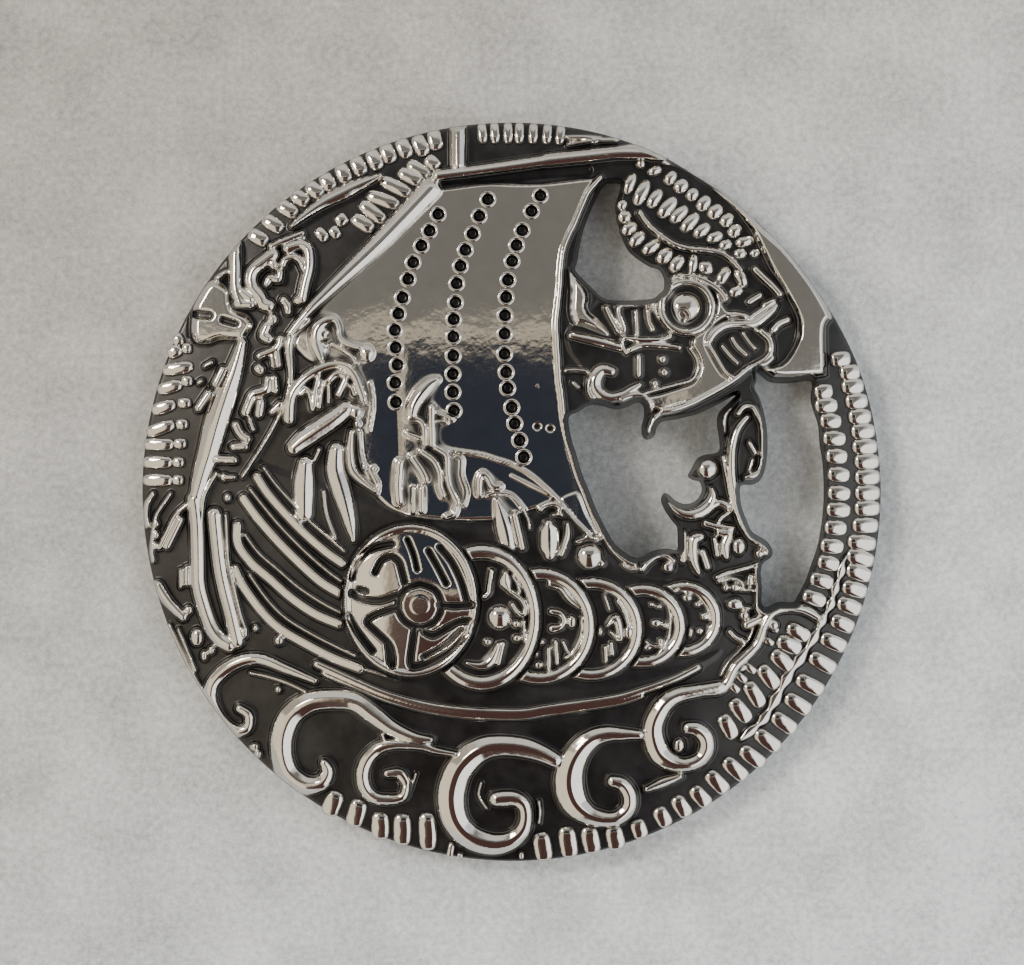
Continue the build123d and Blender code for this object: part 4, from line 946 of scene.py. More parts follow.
def lay_shield(grid, shield):
    """Lays one shield over what is behind it: rim, board, lines and studs."""
    u, v = shield["at"]
    wide, high = shield["half"]
    where = grid.window([(u - wide, v - high), (u + wide, v + high)], MOAT + 3 * CELL)
    x = np.hypot((grid.u[where] - u) / wide, (grid.v[where] - v) / high)
    depth = (1 - x) * (wide + high) / 2
    behind = grid.height[where].copy()
    half = shield["rim"] / 2
    rise = half * SHARE * CROWN_SLOPE * (1 - FLAT_SHARE)
    off = np.abs(depth - half) / half
    rim = shield["rim_height"] - rise + rise * crown("bar", np.clip(off, 0, 1), 1)
    rim *= np.clip((1 - off) * half / WALL_RUN + 0.5, 0, 1)
    board = shield["board"] + shield.get("swell", 0.0) * (1 - x**2)
    own = np.maximum(rim, board * np.clip(depth / WALL_RUN, 0, 1))
    grid.height[where] = np.where(depth > 0, own, 0)
    cut_lines(grid, [(width, shield["board"] * BOARD_CUT, points)
                     for width, points in shield.get("grooves", {}).values()])
    for row in shield.get("lines", {}).values():
        raise_line(grid, *row)
    for stud in shield["studs"]:
        raise_stud(grid, *stud)
    moat = behind * np.clip((-depth - MOAT / 2) / (MOAT / 2), 0, 1)
    grid.height[where] = np.where(depth > 0, grid.height[where], moat)


def raise_eye(grid):
    """The dragon's eye: a ring, a pit and a ball in it."""
    u, v = DRAGON_EYE["at"]
    ring, ring_height = DRAGON_EYE["ring"]
    pit, pit_height = DRAGON_EYE["pit"]
    ball, ball_height = DRAGON_EYE["ball"]
    where = grid.window([(u, v)], ring + 3 * CELL)
    away = np.hypot(grid.u[where] - u, grid.v[where] - v)
    half = (ring - pit) / 2
    x = np.clip(np.abs(away - (ring + pit) / 2) / half, 0, 1)
    rise = half * SHARE * CROWN_SLOPE
    foot = np.clip((1 - x) / EYE_FOOT, 0, 1)
    rounded = (ring_height - rise + rise * np.sqrt(1 - x**2)) * foot
    height = np.where(away < pit, pit_height, grid.height[where])
    height = np.where(np.abs(away - (ring + pit) / 2) < half,
                      np.maximum(rounded, pit_height), height)
    dome = np.sqrt(np.clip(1 - (away / ball)**2, 0, 1))
    height = np.where(away < ball, pit_height + (ball_height - pit_height) * dome, height)
    grid.height[where] = height


def blurred(values, reach):
    """Values over the grid, made soft over a reach in cells."""
    half = int(3 * reach) + 1
    steps = np.arange(-half, half + 1)
    weights = np.exp(-0.5 * (steps / reach)**2)
    weights /= weights.sum()
    padded = np.pad(values, half, mode="edge")
    rows = sum(w * padded[k:k + len(values)] for k, w in enumerate(weights))
    return sum(w * rows[:, k:k + values.shape[1]] for k, w in enumerate(weights))


def sink_pits(grid):
    """Sinks a pit in each ring of the sail's seams."""
    for u, v in [place for places in SEAM_RINGS.values() for place in places]:
        where = grid.window([(u, v)], SEAM_PIT + CELL)
        away = np.hypot(grid.u[where] - u, grid.v[where] - v)
        share = np.clip((1 - (away / SEAM_PIT)**2) * SEAM_PIT_FULL, 0, 1)
        grid.height[where] -= SEAM_PIT_DEPTH * share


def trim_edges(grid, on_edge):
    """Rounds the outer edge, keeps the rim low and slants the walls of the gaps."""
    edge = np.clip(grid.edge_depth() / EDGE_ROUND, 0, 1)
    grid.height -= EDGE_DROP * (1 - np.sqrt(np.clip(1 - (1 - edge)**2, 0, 1)))
    limit = RIM_LOW + RIM_GAIN * np.clip(grid.edge_depth() / RIM_RUN, 0, 1)
    grid.height = np.minimum(grid.height, limit)
    slant = np.clip(np.where(on_edge & (grid.gap < CELL), 0, grid.gap) / DRAFT, 0, 1)
    low = -(WALL - DRAFT_FOOT)
    wall = low + (DRAFT_TOP - low) * slant
    grid.height = np.where(slant < 1, np.minimum(grid.height, wall), grid.height)


def model_relief():
    """The whole front: heights, and which places belong to the metal."""
    grid = Grid()
    for points in GAPS.values():
        where, depth = grid.depth_in(points, GAP_REACH)
        grid.gap[where] = np.minimum(grid.gap[where], -depth)
    solid = np.minimum(grid.edge_depth(), grid.gap)
    on_edge = snap(grid, solid)
    for height, slope, points in FIELDS.values():
        raise_field(grid, height, slope, points)
    bulge_panels(grid)
    for group in LINE_GROUPS:
        for row in group.values():
            raise_line(grid, *row)
    for stud in STUDS:
        raise_stud(grid, *stud)
    raise_eye(grid)
    for shield in reversed(SHIELDS):
        lay_shield(grid, shield)
    cut_lines(grid, CUTS.values())
    sink_pits(grid)
    grid.height = blurred(grid.height, SOFTEN)
    trim_edges(grid, on_edge)
    return grid, (solid >= 0) | on_edge


def front_z(grid):
    """Height of the relief's surface over the floor, in mm."""
    x, y = grid.u * SHARE, grid.v * SHARE
    return CENTRE_Z + np.sqrt((FRONT_SPHERE + grid.height)**2 - x**2 - y**2)


def back_z(x, y):
    """Height of the underside over the floor, in mm."""
    under = CENTRE_Z + np.sqrt((FRONT_SPHERE - WALL)**2 - x**2 - y**2)
    away = np.hypot(x, y)
    back = np.where(away >= LAND_INSIDE, 0.0, np.maximum(under, 0.0))
    for boss_x, boss_y in BOSSES:
        within = np.hypot(x - boss_x, y - boss_y) < BOSS_RADIUS
        back = np.where(within, np.minimum(back, BOSS_FOOT), back)
    return back


def surface_normals(grid, z):
    """Outward directions of the relief's surface."""
    slope_x = np.gradient(z, axis=0) / (np.gradient(grid.u, axis=0) * SHARE)
    slope_y = np.gradient(z, axis=1) / (np.gradient(grid.v, axis=1) * SHARE)
    normals = np.stack([-slope_x, -slope_y, np.ones_like(z)], axis=-1)
    return normals / np.linalg.norm(normals, axis=-1, keepdims=True)


def recess_of(grid):
    """Blackening: 0 on polished tops, 1 on the ground and deep beside what is high."""
    height = np.where(grid.gap > DRAFT, grid.height, GAP_LEVEL)
    around = blurred(height, RECESS_REACH / (CELL * SHARE))
    lower = np.clip((around - height - RECESS_START) / RECESS_FADE, 0, 1)
    ground = np.clip((GROUND_TOP - height) / GROUND_FADE, 0, 1)
    wall = np.clip(1 - grid.gap / DRAFT, 0, 1)
    return blurred(np.maximum(np.maximum(lower, ground), wall * WALL_RECESS), SOFTEN)


# Meshes of the front's pieces
def cell_pieces(grid):
    """Number of the piece that each cell belongs to."""
    taken = np.full(grid.u.shape, len(PIECES) - 1)
    everywhere = (slice(None), slice(None))
    for number, points in reversed(list(enumerate(PIECES.values()))):
        if points is not None:
            taken[grid.inside(np.array(points, float), everywhere)] = number
    return taken[:-1, :-1]


def cell_corners(values):
    """What each cell has at its four corners, going round it."""
    return np.stack([values[:-1, :-1], values[1:, :-1], values[1:, 1:], values[:-1, 1:]], -1)


def front_faces(number, owner, metal):
    """Cells and corner triangles of one piece, as rows of point numbers."""
    corners = cell_corners(np.arange(metal.size).reshape(metal.shape))
    inside = cell_corners(metal)
    mine = owner == number
    full = mine & inside.all(-1)
    three = mine & (inside.sum(-1) == 3)
    left_out = np.argmin(inside, axis=-1)
    triangles = []
    for missing in range(4):
        rows = corners[three & (left_out == missing)]
        keep = [k for k in range(4) if k != missing]
        triangles.append(rows[:, keep])
    return full, corners[full], np.concatenate(triangles)


def boundary(quads, triangles):
    """Directed edges that no neighbour shares."""
    edges = [quads[:, [k, (k + 1) % 4]] for k in range(4)]
    edges += [triangles[:, [k, (k + 1) % 3]] for k in range(3)]
    edges = np.concatenate(edges)
    span = int(edges.max()) + 1
    forward = edges[:, 0].astype(np.int64) * span + edges[:, 1]
    backward = edges[:, 1].astype(np.int64) * span + edges[:, 0]
    return edges[~np.isin(forward, backward)]


def back_faces(grid, full):
    """The back's faces: a plain block of cells is one face, and the rest are single."""
    index = np.arange(grid.u.size).reshape(grid.u.shape)
    x, y = grid.u * SHARE, grid.v * SHARE
    uneven = np.abs(np.hypot(x, y) - LAND_INSIDE) < BACK_CLEAR
    for boss_x, boss_y in BOSSES:
        uneven |= np.abs(np.hypot(x - boss_x, y - boss_y) - BOSS_RADIUS) < BACK_CLEAR
    rows, columns = full.shape[0] // BLOCK, full.shape[1] // BLOCK
    plain = np.zeros((rows + 2, columns + 2), bool)
    for row in range(rows):
        for column in range(columns):
            block = (slice(row * BLOCK, (row + 1) * BLOCK),
                     slice(column * BLOCK, (column + 1) * BLOCK))
            plain[row + 1, column + 1] = full[block].all() and not uneven[block].any()
    single = full.copy()
    polygons = []
    for row, column in zip(*np.nonzero(plain)):
        left, low = (row - 1) * BLOCK, (column - 1) * BLOCK
        right, high = left + BLOCK, low + BLOCK
        single[left:right, low:high] = False
        sides = ((index[left:right + 1, low], plain[row, column - 1]),
                 (index[right, low:high + 1], plain[row + 1, column]),
                 (index[left:right + 1, high][::-1], plain[row, column + 1]),
                 (index[left, low:high + 1][::-1], plain[row - 1, column]))
        # towards another plain block, a side needs no points between its ends
        ring = []
        for side, next_is_plain in sides:
            ring.extend(side[:1] if next_is_plain else side[:-1])
        polygons.append(ring)
    return polygons, cell_corners(index)[single]


def mesh_of(name, places, faces):
    """A mesh from points and a list of arrays or lists of faces."""
    sizes, corners = [], []
    for group in faces:
        if isinstance(group, np.ndarray):
            sizes.append(np.full(len(group), group.shape[1]))
            corners.append(group.ravel())
        else:
            sizes.append(np.array([len(face) for face in group], int))
            corners.append(np.array([point for face in group for point in face], int))
    sizes, corners = np.concatenate(sizes), np.concatenate(corners)
    mesh = bpy.data.meshes.new(name)
    mesh.vertices.add(len(places))
    mesh.vertices.foreach_set("co", places.astype(np.float32).ravel())
    mesh.loops.add(len(corners))
    mesh.loops.foreach_set("vertex_index", corners.astype(np.int32))
    mesh.polygons.add(len(sizes))
    starts = np.concatenate([[0], np.cumsum(sizes)[:-1]])
    mesh.polygons.foreach_set("loop_start", starts.astype(np.int32))
    mesh.update(calc_edges=True)
    return mesh


def front_piece(name, number, grid, owner, metal, z, normals, recess):
    """One closed piece of the casting: relief, walls and back."""
    full, quads, triangles = front_faces(number, owner, metal)
    rim = boundary(quads, triangles)
    polygons, cells = back_faces(grid, full)
    used = np.unique(np.concatenate([quads.ravel(), triangles.ravel()]))
    under = np.unique(np.concatenate([rim.ravel(), cells.ravel(), triangles.ravel()]
                                     + [np.array(ring) for ring in polygons]))
    top = np.zeros(grid.u.size, int)
    bottom = np.zeros(grid.u.size, int)
    top[used] = np.arange(len(used))
    bottom[under] = np.arange(len(under)) + len(used)
    x, y = grid.u.ravel() * SHARE, grid.v.ravel() * SHARE
    back = np.minimum(back_z(x, y), z.ravel() - THINNEST)
    places = np.concatenate([
        np.stack([x[used], y[used], z.ravel()[used]], -1),
        np.stack([x[under], y[under], back[under]], -1)]) * MM
    walls = np.stack([top[rim[:, 1]], top[rim[:, 0]], bottom[rim[:, 0]],
                      bottom[rim[:, 1]]], -1)
    under_blocks = [[bottom[point] for point in ring[::-1]] for ring in polygons]
    faces = [top[quads], top[triangles], walls, bottom[cells][:, ::-1],
             bottom[triangles][:, ::-1], under_blocks]
    mesh = mesh_of(name, places, faces)
    round_off(mesh, normals.reshape(-1, 3)[used], 4 * len(quads) + 3 * len(triangles))
    values = np.full(len(places), BACK_RECESS)
    values[:len(used)] = recess.ravel()[used]
    blacken(mesh, values)
    return place_object(name, mesh)


def round_off(mesh, directions, smooth_corners):
    """The relief takes its directions from the whole front, so that no line shows
    where two pieces meet; walls and back take those of their faces."""
    corners = np.zeros(len(mesh.loops), np.int32)
    mesh.loops.foreach_get("vertex_index", corners)
    flat = np.zeros(len(mesh.polygons) * 3, np.float32)
    mesh.polygons.foreach_get("normal", flat)
    sizes = np.zeros(len(mesh.polygons), np.int32)
    mesh.polygons.foreach_get("loop_total", sizes)
    chosen = np.repeat(flat.reshape(-1, 3), sizes, axis=0)
    chosen[:smooth_corners] = directions[corners[:smooth_corners]]
    mesh.polygons.foreach_set("use_smooth", np.ones(len(mesh.polygons), bool))
    mesh.normals_split_custom_set(chosen)


def blacken(mesh, values):
    """Writes how black each point is, as the silver's recess attribute."""
    attribute = mesh.attributes.new("recess", "FLOAT", "POINT")
    attribute.data.foreach_set("value", values.astype(np.float32))


def place_object(name, data):
    """An object at the origin that holds a finished mesh, a lamp or the camera."""
    made = bpy.data.objects.new(name, data)
    bpy.context.scene.collection.objects.link(made)
    return made


# Nodes
def add(tree, kind, links=(), **settings):
    """Adds a node with its settings; links give an input its source or its value."""
    made = tree.nodes.new(kind)
    for name, value in settings.items():
        setattr(made, name, value)
    for socket, source in dict(links).items():
        if isinstance(source, bpy.types.NodeSocket):
            tree.links.new(source, made.inputs[socket])
        else:
            made.inputs[socket].default_value = source
    return made


def colour(code, strength=1.0):
    """Linear colour of an sRGB hex code, times a strength."""
    parts = [int(code[k:k + 2], 16) / 255 for k in (1, 3, 5)]
    linear = [part / 12.92 if part <= 0.04045 else ((part + 0.055) / 1.055)**2.4
              for part in parts]
    return (*[part * strength for part in linear], 1.0)


def new_material(name):
    """A node material, its tree and its shader."""
    made = bpy.data.materials.new(name)
    made.use_nodes = True
    return made, made.node_tree, made.node_tree.nodes["Principled BSDF"]


def antiqued_silver():
    """Cast tin alloy, silver plated, blackened and polished on its tops: mirror bright
    metal with a soft skin, and a dull black oxide that fades out of each recess."""
    made, tree, shader = new_material("antiqued_silver_cast")
    place = add(tree, "ShaderNodeTexCoord").outputs["Object"]
    recess = add(tree, "ShaderNodeAttribute", attribute_name="recess").outputs["Fac"]
    # casting skin with grains of about 0.35 mm
    skin = add(tree, "ShaderNodeTexNoise",
               {"Vector": place, "Scale": 1 / (0.35 * MM), "Detail": 3.0, "Roughness": 0.6})
    # uneven blackening in patches of about 1.2 mm
    patch = add(tree, "ShaderNodeTexNoise",
                {"Vector": place, "Scale": 1 / (1.2 * MM), "Detail": 2.0})
    uneven = add(tree, "ShaderNodeMath", {0: patch.outputs["Fac"], 1: 0.36, 2: -0.18},
                 operation="MULTIPLY_ADD")
    edge = add(tree, "ShaderNodeMath", {0: recess, 1: uneven.outputs[0]}, operation="ADD")
    oxide = add(tree, "ShaderNodeMapRange",
                {"Value": edge.outputs[0], "From Min": 0.14, "From Max": 0.74},
                interpolation_type="SMOOTHSTEP")
    # fine polishing marks, about 0.12 mm apart
    marks = add(tree, "ShaderNodeTexNoise",
                {"Vector": place, "Scale": 1 / (0.12 * MM), "Detail": 2.0})
    metal = add(tree, "ShaderNodeMix",
                {"Factor": patch.outputs["Fac"], "A": colour("#DCDAD6"),
                 "B": colour("#C9C6C1")}, data_type="RGBA")
    # the oxide is thicker and blacker in clouds of about 2.2 mm
    cloud = add(tree, "ShaderNodeTexNoise",
                {"Vector": place, "Scale": 1 / (2.2 * MM), "Detail": 4.0, "Roughness": 0.65})
    thick = add(tree, "ShaderNodeMapRange",
                {"Value": cloud.outputs["Fac"], "From Min": 0.36, "From Max": 0.66})
    black = add(tree, "ShaderNodeMix",
                {"Factor": thick.outputs[0], "A": colour("#0E0F12"), "B": colour("#29292C")},
                data_type="RGBA")
    base = add(tree, "ShaderNodeMix",
               {"Factor": oxide.outputs[0], "A": metal.outputs["Result"],
                "B": black.outputs["Result"]}, data_type="RGBA")
    smoothness = add(tree, "ShaderNodeMapRange",
                     {"Value": marks.outputs["Fac"], "To Min": 0.04, "To Max": 0.12})
    rough = add(tree, "ShaderNodeMix",
                {"Factor": oxide.outputs[0], "A": smoothness.outputs[0], "B": 0.28},
                data_type="FLOAT")
    bare = add(tree, "ShaderNodeMath", {0: 1.0, 1: oxide.outputs[0]}, operation="SUBTRACT")
    # hand polishing leaves it wavy, about 0.9 mm from crest to crest
    waves = add(tree, "ShaderNodeTexNoise",
                {"Vector": place, "Scale": 1 / (0.9 * MM), "Detail": 2.0})
    wavy = add(tree, "ShaderNodeBump",
               {"Height": waves.outputs["Fac"], "Strength": 1.0, "Distance": 0.010 * MM})
    bump = add(tree, "ShaderNodeBump",
               {"Height": skin.outputs["Fac"], "Strength": 0.25, "Distance": 0.012 * MM,
                "Normal": wavy.outputs["Normal"]})
    tree.links.new(base.outputs["Result"], shader.inputs["Base Color"])
    tree.links.new(rough.outputs["Result"], shader.inputs["Roughness"])
    tree.links.new(bump.outputs["Normal"], shader.inputs["Normal"])
    tree.links.new(bare.outputs[0], shader.inputs["Metallic"])
    return made


def drawn_steel():
    """Drawn steel wire of the pin: grey metal with fine lines along it."""
    made, tree, shader = new_material("drawn_steel_wire")
    place = add(tree, "ShaderNodeTexCoord").outputs["Object"]
    # drawing lines are 0.05 mm apart, and 25 times as long along the wire, which lies in x
    along = add(tree, "ShaderNodeMapping", {"Vector": place, "Scale": (1 / 25, 1.0, 1.0)})
    lines = add(tree, "ShaderNodeTexNoise",
                {"Vector": along.outputs[0], "Scale": 1 / (0.05 * MM), "Detail": 2.0})
    rough = add(tree, "ShaderNodeMapRange",
                {"Value": lines.outputs["Fac"], "To Min": 0.24, "To Max": 0.40})
    bump = add(tree, "ShaderNodeBump",
               {"Height": lines.outputs["Fac"], "Strength": 0.2, "Distance": 0.004 * MM})
    tree.links.new(rough.outputs[0], shader.inputs["Roughness"])
    tree.links.new(bump.outputs[0], shader.inputs["Normal"])
    shader.inputs["Base Color"].default_value = colour("#B4B2AE")
    shader.inputs["Metallic"].default_value = 1.0
    return made


def pale_paper():
    """Pale grey surface with blotches and a fine grain, under the brooch, with painted light and
    shade on it: lighter and cooler to the lower right, darker and warmer at the upper left."""
    made, tree, shader = new_material("pale_surface")
    place = add(tree, "ShaderNodeTexCoord").outputs["Object"]
    # grain of about 0.4 mm, and blotches of about 5 mm
    grain = add(tree, "ShaderNodeTexNoise",
                {"Vector": place, "Scale": 1 / (0.4 * MM), "Detail": 4.0, "Roughness": 0.75})
    blotches = add(tree, "ShaderNodeTexNoise",
                   {"Vector": place, "Scale": 1 / (5 * MM), "Detail": 4.0, "Roughness": 0.55})
    grained = add(tree, "ShaderNodeMath",
                  {0: grain.outputs["Fac"], 1: 2.0, 2: -1.0}, operation="MULTIPLY_ADD")
    both = add(tree, "ShaderNodeMath",
               {0: blotches.outputs["Fac"], 1: 1.1, 2: grained.outputs[0]},
               operation="MULTIPLY_ADD")
    tone = add(tree, "ShaderNodeMix",
               {"Factor": both.outputs[0], "A": colour("#989A9D"), "B": colour("#DADBDC")},
               data_type="RGBA")
    # painted light and shade: darker and warmer at the upper left, about 35 mm from the middle,
    # lighter and cooler to the lower right
    lean = add(tree, "ShaderNodeVectorMath", {0: place, 1: (4.3, -5.3, 0.0)},
               operation="DOT_PRODUCT")
    share = add(tree, "ShaderNodeMapRange",
                {"Value": lean.outputs["Value"], "From Min": -0.24, "From Max": 0.24})
    # painted light: this tint multiplies the surface's colour, dim at the upper left and bright
    # at the lower right
    painted_light_tint = add(tree, "ShaderNodeMix",
               {"Factor": share.outputs[0], "A": (0.86, 0.83, 0.80, 1.0),
                "B": (1.52, 1.64, 1.75, 1.0)}, data_type="RGBA")
    base = add(tree, "ShaderNodeMix",
               {"Factor": 1.0, "A": tone.outputs["Result"], "B": painted_light_tint.outputs["Result"]},
               data_type="RGBA", blend_type="MULTIPLY")
    bump = add(tree, "ShaderNodeBump",
               {"Height": grain.outputs["Fac"], "Strength": 0.6, "Distance": 0.08 * MM})
    tree.links.new(base.outputs["Result"], shader.inputs["Base Color"])
    tree.links.new(bump.outputs["Normal"], shader.inputs["Normal"])
    shader.inputs["Roughness"].default_value = 0.85
    return made


# Repeated ridges, beads and rings, by Geometry Nodes
RING_SIDES = 20          # straight runs round a ring
WIRE_SIDES = 7           # and round its wire
BEAD_SEGMENTS = 16       # faces round a bead
BEAD_RINGS = 9           # rows of faces from its one end to the other


def socket_of(tree, name):
    """Identifier of a named input of a tree."""
    return next(item.identifier for item in tree.interface.items_tree if item.name == name)


def ring_shape(tree, thickness):
    """A wire ring of radius 1; the thickness is half of its wire's."""
    path = add(tree, "GeometryNodeCurvePrimitiveCircle",
               {"Resolution": RING_SIDES, "Radius": 1.0})
    wire = add(tree, "GeometryNodeCurvePrimitiveCircle",
               {"Resolution": WIRE_SIDES, "Radius": thickness})
    ring = add(tree, "GeometryNodeCurveToMesh",
               {"Curve": path.outputs["Curve"], "Profile Curve": wire.outputs["Curve"]})
    return ring.outputs["Mesh"]


def bead_shape(tree, power):
    """A ball of radius 1 whose coordinates are raised to a power: less than 1 swells it
    towards the corners of its box."""
    ball = add(tree, "GeometryNodeMeshUVSphere",
               {"Segments": BEAD_SEGMENTS, "Rings": BEAD_RINGS, "Radius": 1.0})
    place = add(tree, "GeometryNodeInputPosition")
    axes = add(tree, "ShaderNodeSeparateXYZ", {"Vector": place.outputs[0]})
    swollen = {}
    for axis in range(3):
        size = add(tree, "ShaderNodeMath", {0: axes.outputs[axis]}, operation="ABSOLUTE")
        raised = add(tree, "ShaderNodeMath", {0: size.outputs[0], 1: power}, operation="POWER")
        sign = add(tree, "ShaderNodeMath", {0: axes.outputs[axis]}, operation="SIGN")
        whole = add(tree, "ShaderNodeMath", {0: raised.outputs[0], 1: sign.outputs[0]},
                    operation="MULTIPLY")
        swollen[axis] = whole.outputs[0]
    joined = add(tree, "ShaderNodeCombineXYZ", swollen)
    moved = add(tree, "GeometryNodeSetPosition",
                {"Geometry": ball.outputs["Mesh"], "Position": joined.outputs[0]})
    return moved.outputs[0]


def copies_tree(name, shape_of):
    """Places a bead, or a ring, on each point with the point's own turn and size."""
    tree = bpy.data.node_groups.new(name, "GeometryNodeTree")
    tree.interface.new_socket("Points", in_out="INPUT", socket_type="NodeSocketGeometry")
    tree.interface.new_socket("Fullness", in_out="INPUT", socket_type="NodeSocketFloat")
    tree.interface.new_socket("Metal", in_out="INPUT", socket_type="NodeSocketMaterial")
    tree.interface.new_socket("Beads", in_out="OUTPUT", socket_type="NodeSocketGeometry")
    given = add(tree, "NodeGroupInput")
    shape = shape_of(tree, given.outputs["Fullness"])
    turn = add(tree, "GeometryNodeInputNamedAttribute", {"Name": "turn"},
               data_type="FLOAT_VECTOR")
    size = add(tree, "GeometryNodeInputNamedAttribute", {"Name": "size"},
               data_type="FLOAT_VECTOR")
    rotation = add(tree, "FunctionNodeEulerToRotation", {0: turn.outputs[0]})
    copies = add(tree, "GeometryNodeInstanceOnPoints",
                 {"Points": given.outputs["Points"], "Instance": shape,
                  "Rotation": rotation.outputs[0], "Scale": size.outputs[0]})
    real = add(tree, "GeometryNodeRealizeInstances", {"Geometry": copies.outputs[0]})
    rounded = add(tree, "GeometryNodeSetShadeSmooth", {"Geometry": real.outputs[0]})
    metal = add(tree, "GeometryNodeSetMaterial",
                {"Geometry": rounded.outputs[0], "Material": given.outputs["Metal"]})
    add(tree, "NodeGroupOutput", {0: metal.outputs[0]})
    return tree


def grow(name, tree, points, fullness, material):
    """Runs a tree on points given as (place, turn, size) and keeps the plain mesh."""
    places, turns, sizes = zip(*points)
    seed = bpy.data.meshes.new(name + "_points")
    seed.from_pydata(places, [], [])
    for label, values in (("turn", turns), ("size", sizes)):
        attribute = seed.attributes.new(label, "FLOAT_VECTOR", "POINT")
        attribute.data.foreach_set("vector", np.array(values, np.float32).ravel())
    holder = place_object(name + "_points", seed)
    modifier = holder.modifiers.new("copies", "NODES")
    modifier.node_group = tree
    modifier[socket_of(tree, "Fullness")] = fullness
    modifier[socket_of(tree, "Metal")] = material
    ready = holder.evaluated_get(bpy.context.evaluated_depsgraph_get())
    mesh = bpy.data.meshes.new_from_object(ready)
    mesh.name = name
    bpy.data.objects.remove(holder)
    for label in ("turn", "size"):
        if label in mesh.attributes:
            mesh.attributes.remove(mesh.attributes[label])
    grown = np.zeros(len(mesh.vertices) * 3, np.float32)
    mesh.vertices.foreach_get("co", grown)
    grown = grown.reshape(-1, 3) / MM
    above = np.linalg.norm(grown - (0, 0, CENTRE_Z), axis=1) - FRONT_SPHERE
    blacken(mesh, np.clip(1 - (above - BEAD_GROUND) / BEAD_FADE, 0, 1))
    return place_object(name, mesh)


def on_dome(u, v, above):
    """Place on the domed front, in metres, and the tilts of the surface there."""
    x, y = u * SHARE, v * SHARE
    z = CENTRE_Z + math.sqrt((FRONT_SPHERE + above)**2 - x**2 - y**2)
    tilt_x = -math.asin(y / FRONT_SPHERE)
    tilt_y = math.asin(x / FRONT_SPHERE)
    return (x * MM, y * MM, z * MM), tilt_x, tilt_y


def bead_at(u, v, heading, length, width, height, sunk):
    """Place, turn and half sizes of one bead that lies along a heading."""
    place, tilt_x, tilt_y = on_dome(u, v, -sunk)
    along, aside = math.cos(heading), math.sin(heading)
    turn = (tilt_x * along + tilt_y * aside, tilt_y * along - tilt_x * aside, heading)
    half = (length * SHARE / 2 * MM, width * SHARE / 2 * MM, (height + sunk) * MM)
    return place, turn, half


def rim_points():
    """Every ridge and bead of the rim."""
    points = []
    for width, rows in RIM_RIDGES.values():
        for from_u, from_v, to_u, to_v in rows:
            run_u, run_v = to_u - from_u, to_v - from_v
            points.append(bead_at((from_u + to_u) / 2, (from_v + to_v) / 2,
                                  math.atan2(run_v, run_u),
                                  math.hypot(run_u, run_v) + RIDGE_EXTRA,
                                  width * RIDGE_SWELL, RIDGE_HEIGHT, RIDGE_SINK))
    for u, v, length, width in RIM_BEADS:
        points.append(bead_at(u, v, math.atan2(v, u), length, width, RIDGE_HEIGHT, RIDGE_SINK))
    return points


def mane_points():
    """The slanted beads of the dragon's mane."""
    return [bead_at(u, v, math.radians(slant), length * MANE_STRETCH, width * MANE_SWELL,
                    MANE_HEIGHT, RIDGE_SINK)
            for row in MANE.values() for u, v, length, width, slant in row]


def seam_points():
    """The rings along the seams of the sail."""
    size = SEAM_RING * SHARE * MM
    points = []
    for places in SEAM_RINGS.values():
        for u, v in places:
            place, tilt_x, tilt_y = on_dome(u, v, SEAM_RING_HEIGHT)
            points.append((place, (tilt_x, tilt_y, 0.0), (size, size, size)))
    return points


# The surface, the light and the camera
PICTURE_WIDTH = 1024     # pixels
FRAME_WIDTH = 62.1       # mm that they span at the brooch's edge
PIXEL = FRAME_WIDTH / PICTURE_WIDTH
MIDDLE = (1.0, 9.5)      # pixels that the picture's middle is right of and above the brooch's
VIEW_HEIGHT = 300.0      # camera over the brooch's edge, in mm
SENSOR = 36.0            # width of the camera's sensor, in mm
FLOOR_HALF = 0.6         # half of the surface's width, in m
WINDOW_Y = 0.065         # how far the window overhead lies to the far side, as a direction
WHITE_SLANT = 0.9        # how far the white light's border moves right, going to the far side


def floor(material):
    """A wide plain surface at the height that the brooch rests on."""
    sides = ((-1, -1), (1, -1), (1, 1), (-1, 1))
    mesh = bpy.data.meshes.new("pale_surface")
    mesh.from_pydata([(x * FLOOR_HALF, y * FLOOR_HALF, 0) for x, y in sides],
                     [], [(0, 1, 2, 3)])
    mesh.materials.append(material)
    place_object("pale_surface", mesh)


def lay_patches(tree, ways, below, patches):
    """Lays patches of light over one that is below. Each has a light and its bounds: a
    way and where along it the patch starts to show and shows fully."""
    for above, bounds in patches:
        share = 1.0
        for way, start, full in bounds:
            edge = add(tree, "ShaderNodeMapRange",
                       {"Value": ways[way], "From Min": start, "From Max": full},
                       interpolation_type="SMOOTHSTEP")
            share = add(tree, "ShaderNodeMath", {0: share, 1: edge.outputs[0]},
                        operation="MULTIPLY").outputs[0]
        below = add(tree, "ShaderNodeMix", {"Factor": share, "A": below, "B": above},
                    data_type="RGBA").outputs["Result"]
    return below


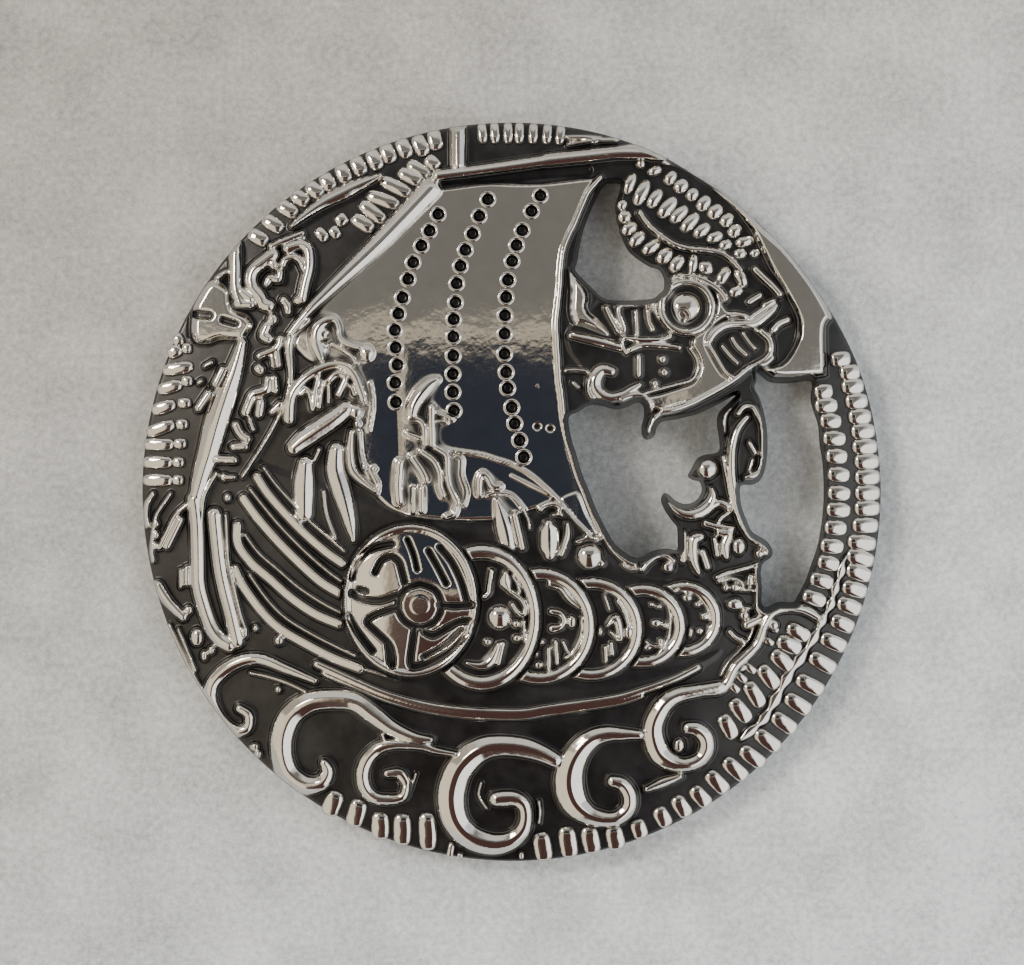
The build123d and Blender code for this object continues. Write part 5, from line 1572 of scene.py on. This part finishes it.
def room_light():
    """Soft light of a plain room, by direction: warm on the left, white on the right,
    brown at the near side, grey at the far side and a dark window overhead."""
    world = bpy.data.worlds.new("soft_room")
    bpy.context.scene.world = world
    world.use_nodes = True
    tree = world.node_tree
    tree.nodes.clear()
    way = add(tree, "ShaderNodeTexCoord").outputs["Generated"]
    x, y, z = add(tree, "ShaderNodeSeparateXYZ", {0: way}).outputs
    off = add(tree, "ShaderNodeMath", {0: y, 1: WINDOW_Y}, operation="SUBTRACT").outputs[0]
    far_part = add(tree, "ShaderNodeMath", {0: y, 1: 0.0}, operation="MAXIMUM").outputs[0]
    lean = add(tree, "ShaderNodeMath", {0: far_part, 1: -WHITE_SLANT, 2: x},
               operation="MULTIPLY_ADD")
    ways = {"right": x, "far": y, "up": z, "right of a slant": lean.outputs[0]}
    for name, value in (("sideways", x), ("off the middle", off)):
        ways[name] = add(tree, "ShaderNodeMath", {0: value}, operation="ABSOLUTE").outputs[0]
    near_side = lay_patches(tree, ways, colour("#5E4440", 0.9), [
        (colour("#7E7B75", 1.2), [("far", -0.15, 0.15)]),
        (colour("#6B5A52", 1.0), [("right", -0.06, -0.22)]),
        (colour("#E6D8BF", 1.65), [("right", -0.27, -0.36)]),
        (colour("#F2F2EE", 2.3), [("right of a slant", 0.30, 0.42)])])
    far_side = lay_patches(tree, ways, colour("#7E7B75", 1.2), [
        (colour("#B9AE9E", 1.2), [("right", -0.50, -0.66)]),
        (colour("#D8DCE0", 1.5), [("right", 0.50, 0.66)]),
        (colour("#DDD9D2", 1.3), [("far", 0.56, 0.72)])])
    # a dark window overhead, in a thin bright frame
    above = lay_patches(tree, ways, near_side, [
        (far_side, [("far", 0.225, 0.270)]),
        (colour("#D8CBB4", 1.3), [("sideways", 0.292, 0.280), ("off the middle", 0.214, 0.206),
                                  ("up", 0.0, 0.2)]),
        (colour("#3F4450", 0.8), [("sideways", 0.262, 0.250), ("off the middle", 0.187, 0.179),
                                  ("up", 0.0, 0.2)])])
    room = lay_patches(tree, ways, colour("#A8A8A8"), [(above, [("up", -0.05, 0.02)])])
    lit = add(tree, "ShaderNodeBackground", {"Color": room, "Strength": 1.0})
    add(tree, "ShaderNodeOutputWorld", {"Surface": lit.outputs[0]})


def lamp(name, place, size, power, code):
    """A soft square lamp that points at the brooch."""
    data = bpy.data.lights.new(name, "AREA")
    data.size = size
    data.energy = power
    data.color = colour(code)[:3]
    made = place_object(name, data)
    made.location = place
    made.rotation_euler = (-Vector(place)).to_track_quat("-Z", "Y").to_euler()


def camera():
    """Straight above, with the picture's own framing."""
    data = bpy.data.cameras.new("camera")
    data.sensor_width = SENSOR
    data.lens = SENSOR * VIEW_HEIGHT / FRAME_WIDTH
    data.clip_start = 0.01
    made = place_object("camera", data)
    right, up = MIDDLE
    made.location = (right * PIXEL * MM, up * PIXEL * MM, (VIEW_HEIGHT + WALL) * MM)
    bpy.context.scene.camera = made


# Build
silver = antiqued_silver()
grid, metal = model_relief()
z = front_z(grid)
normals = surface_normals(grid, z)
recess = recess_of(grid)
owner = cell_pieces(grid)
made = [front_piece(name, number, grid, owner, metal, z, normals, recess)
        for number, name in enumerate(PIECES)]
for piece in made:
    piece.data.materials.append(silver)
    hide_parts("casting")
bead_tree = copies_tree("beads_on_dome", bead_shape)
ring_tree = copies_tree("rings_on_dome", ring_shape)
made.append(grow("rim_ridges", bead_tree, rim_points(), RIDGE_FULL, silver))
made.append(grow("mane_beads", bead_tree, mane_points(), MANE_FULL, silver))
made.append(grow("sail_seam_rings", ring_tree, seam_points(), SEAM_RING_WIRE, silver))
for piece in made:
    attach(piece, "root")
steel = drawn_steel()
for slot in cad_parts["pin_clasp"].material_slots:
    slot.material = steel

floor(pale_paper())
room_light()
lamp("left_lamp", place=(-0.46, 0.265, 0.455), size=0.18, power=2.9, code="#FFF4E6")
camera()
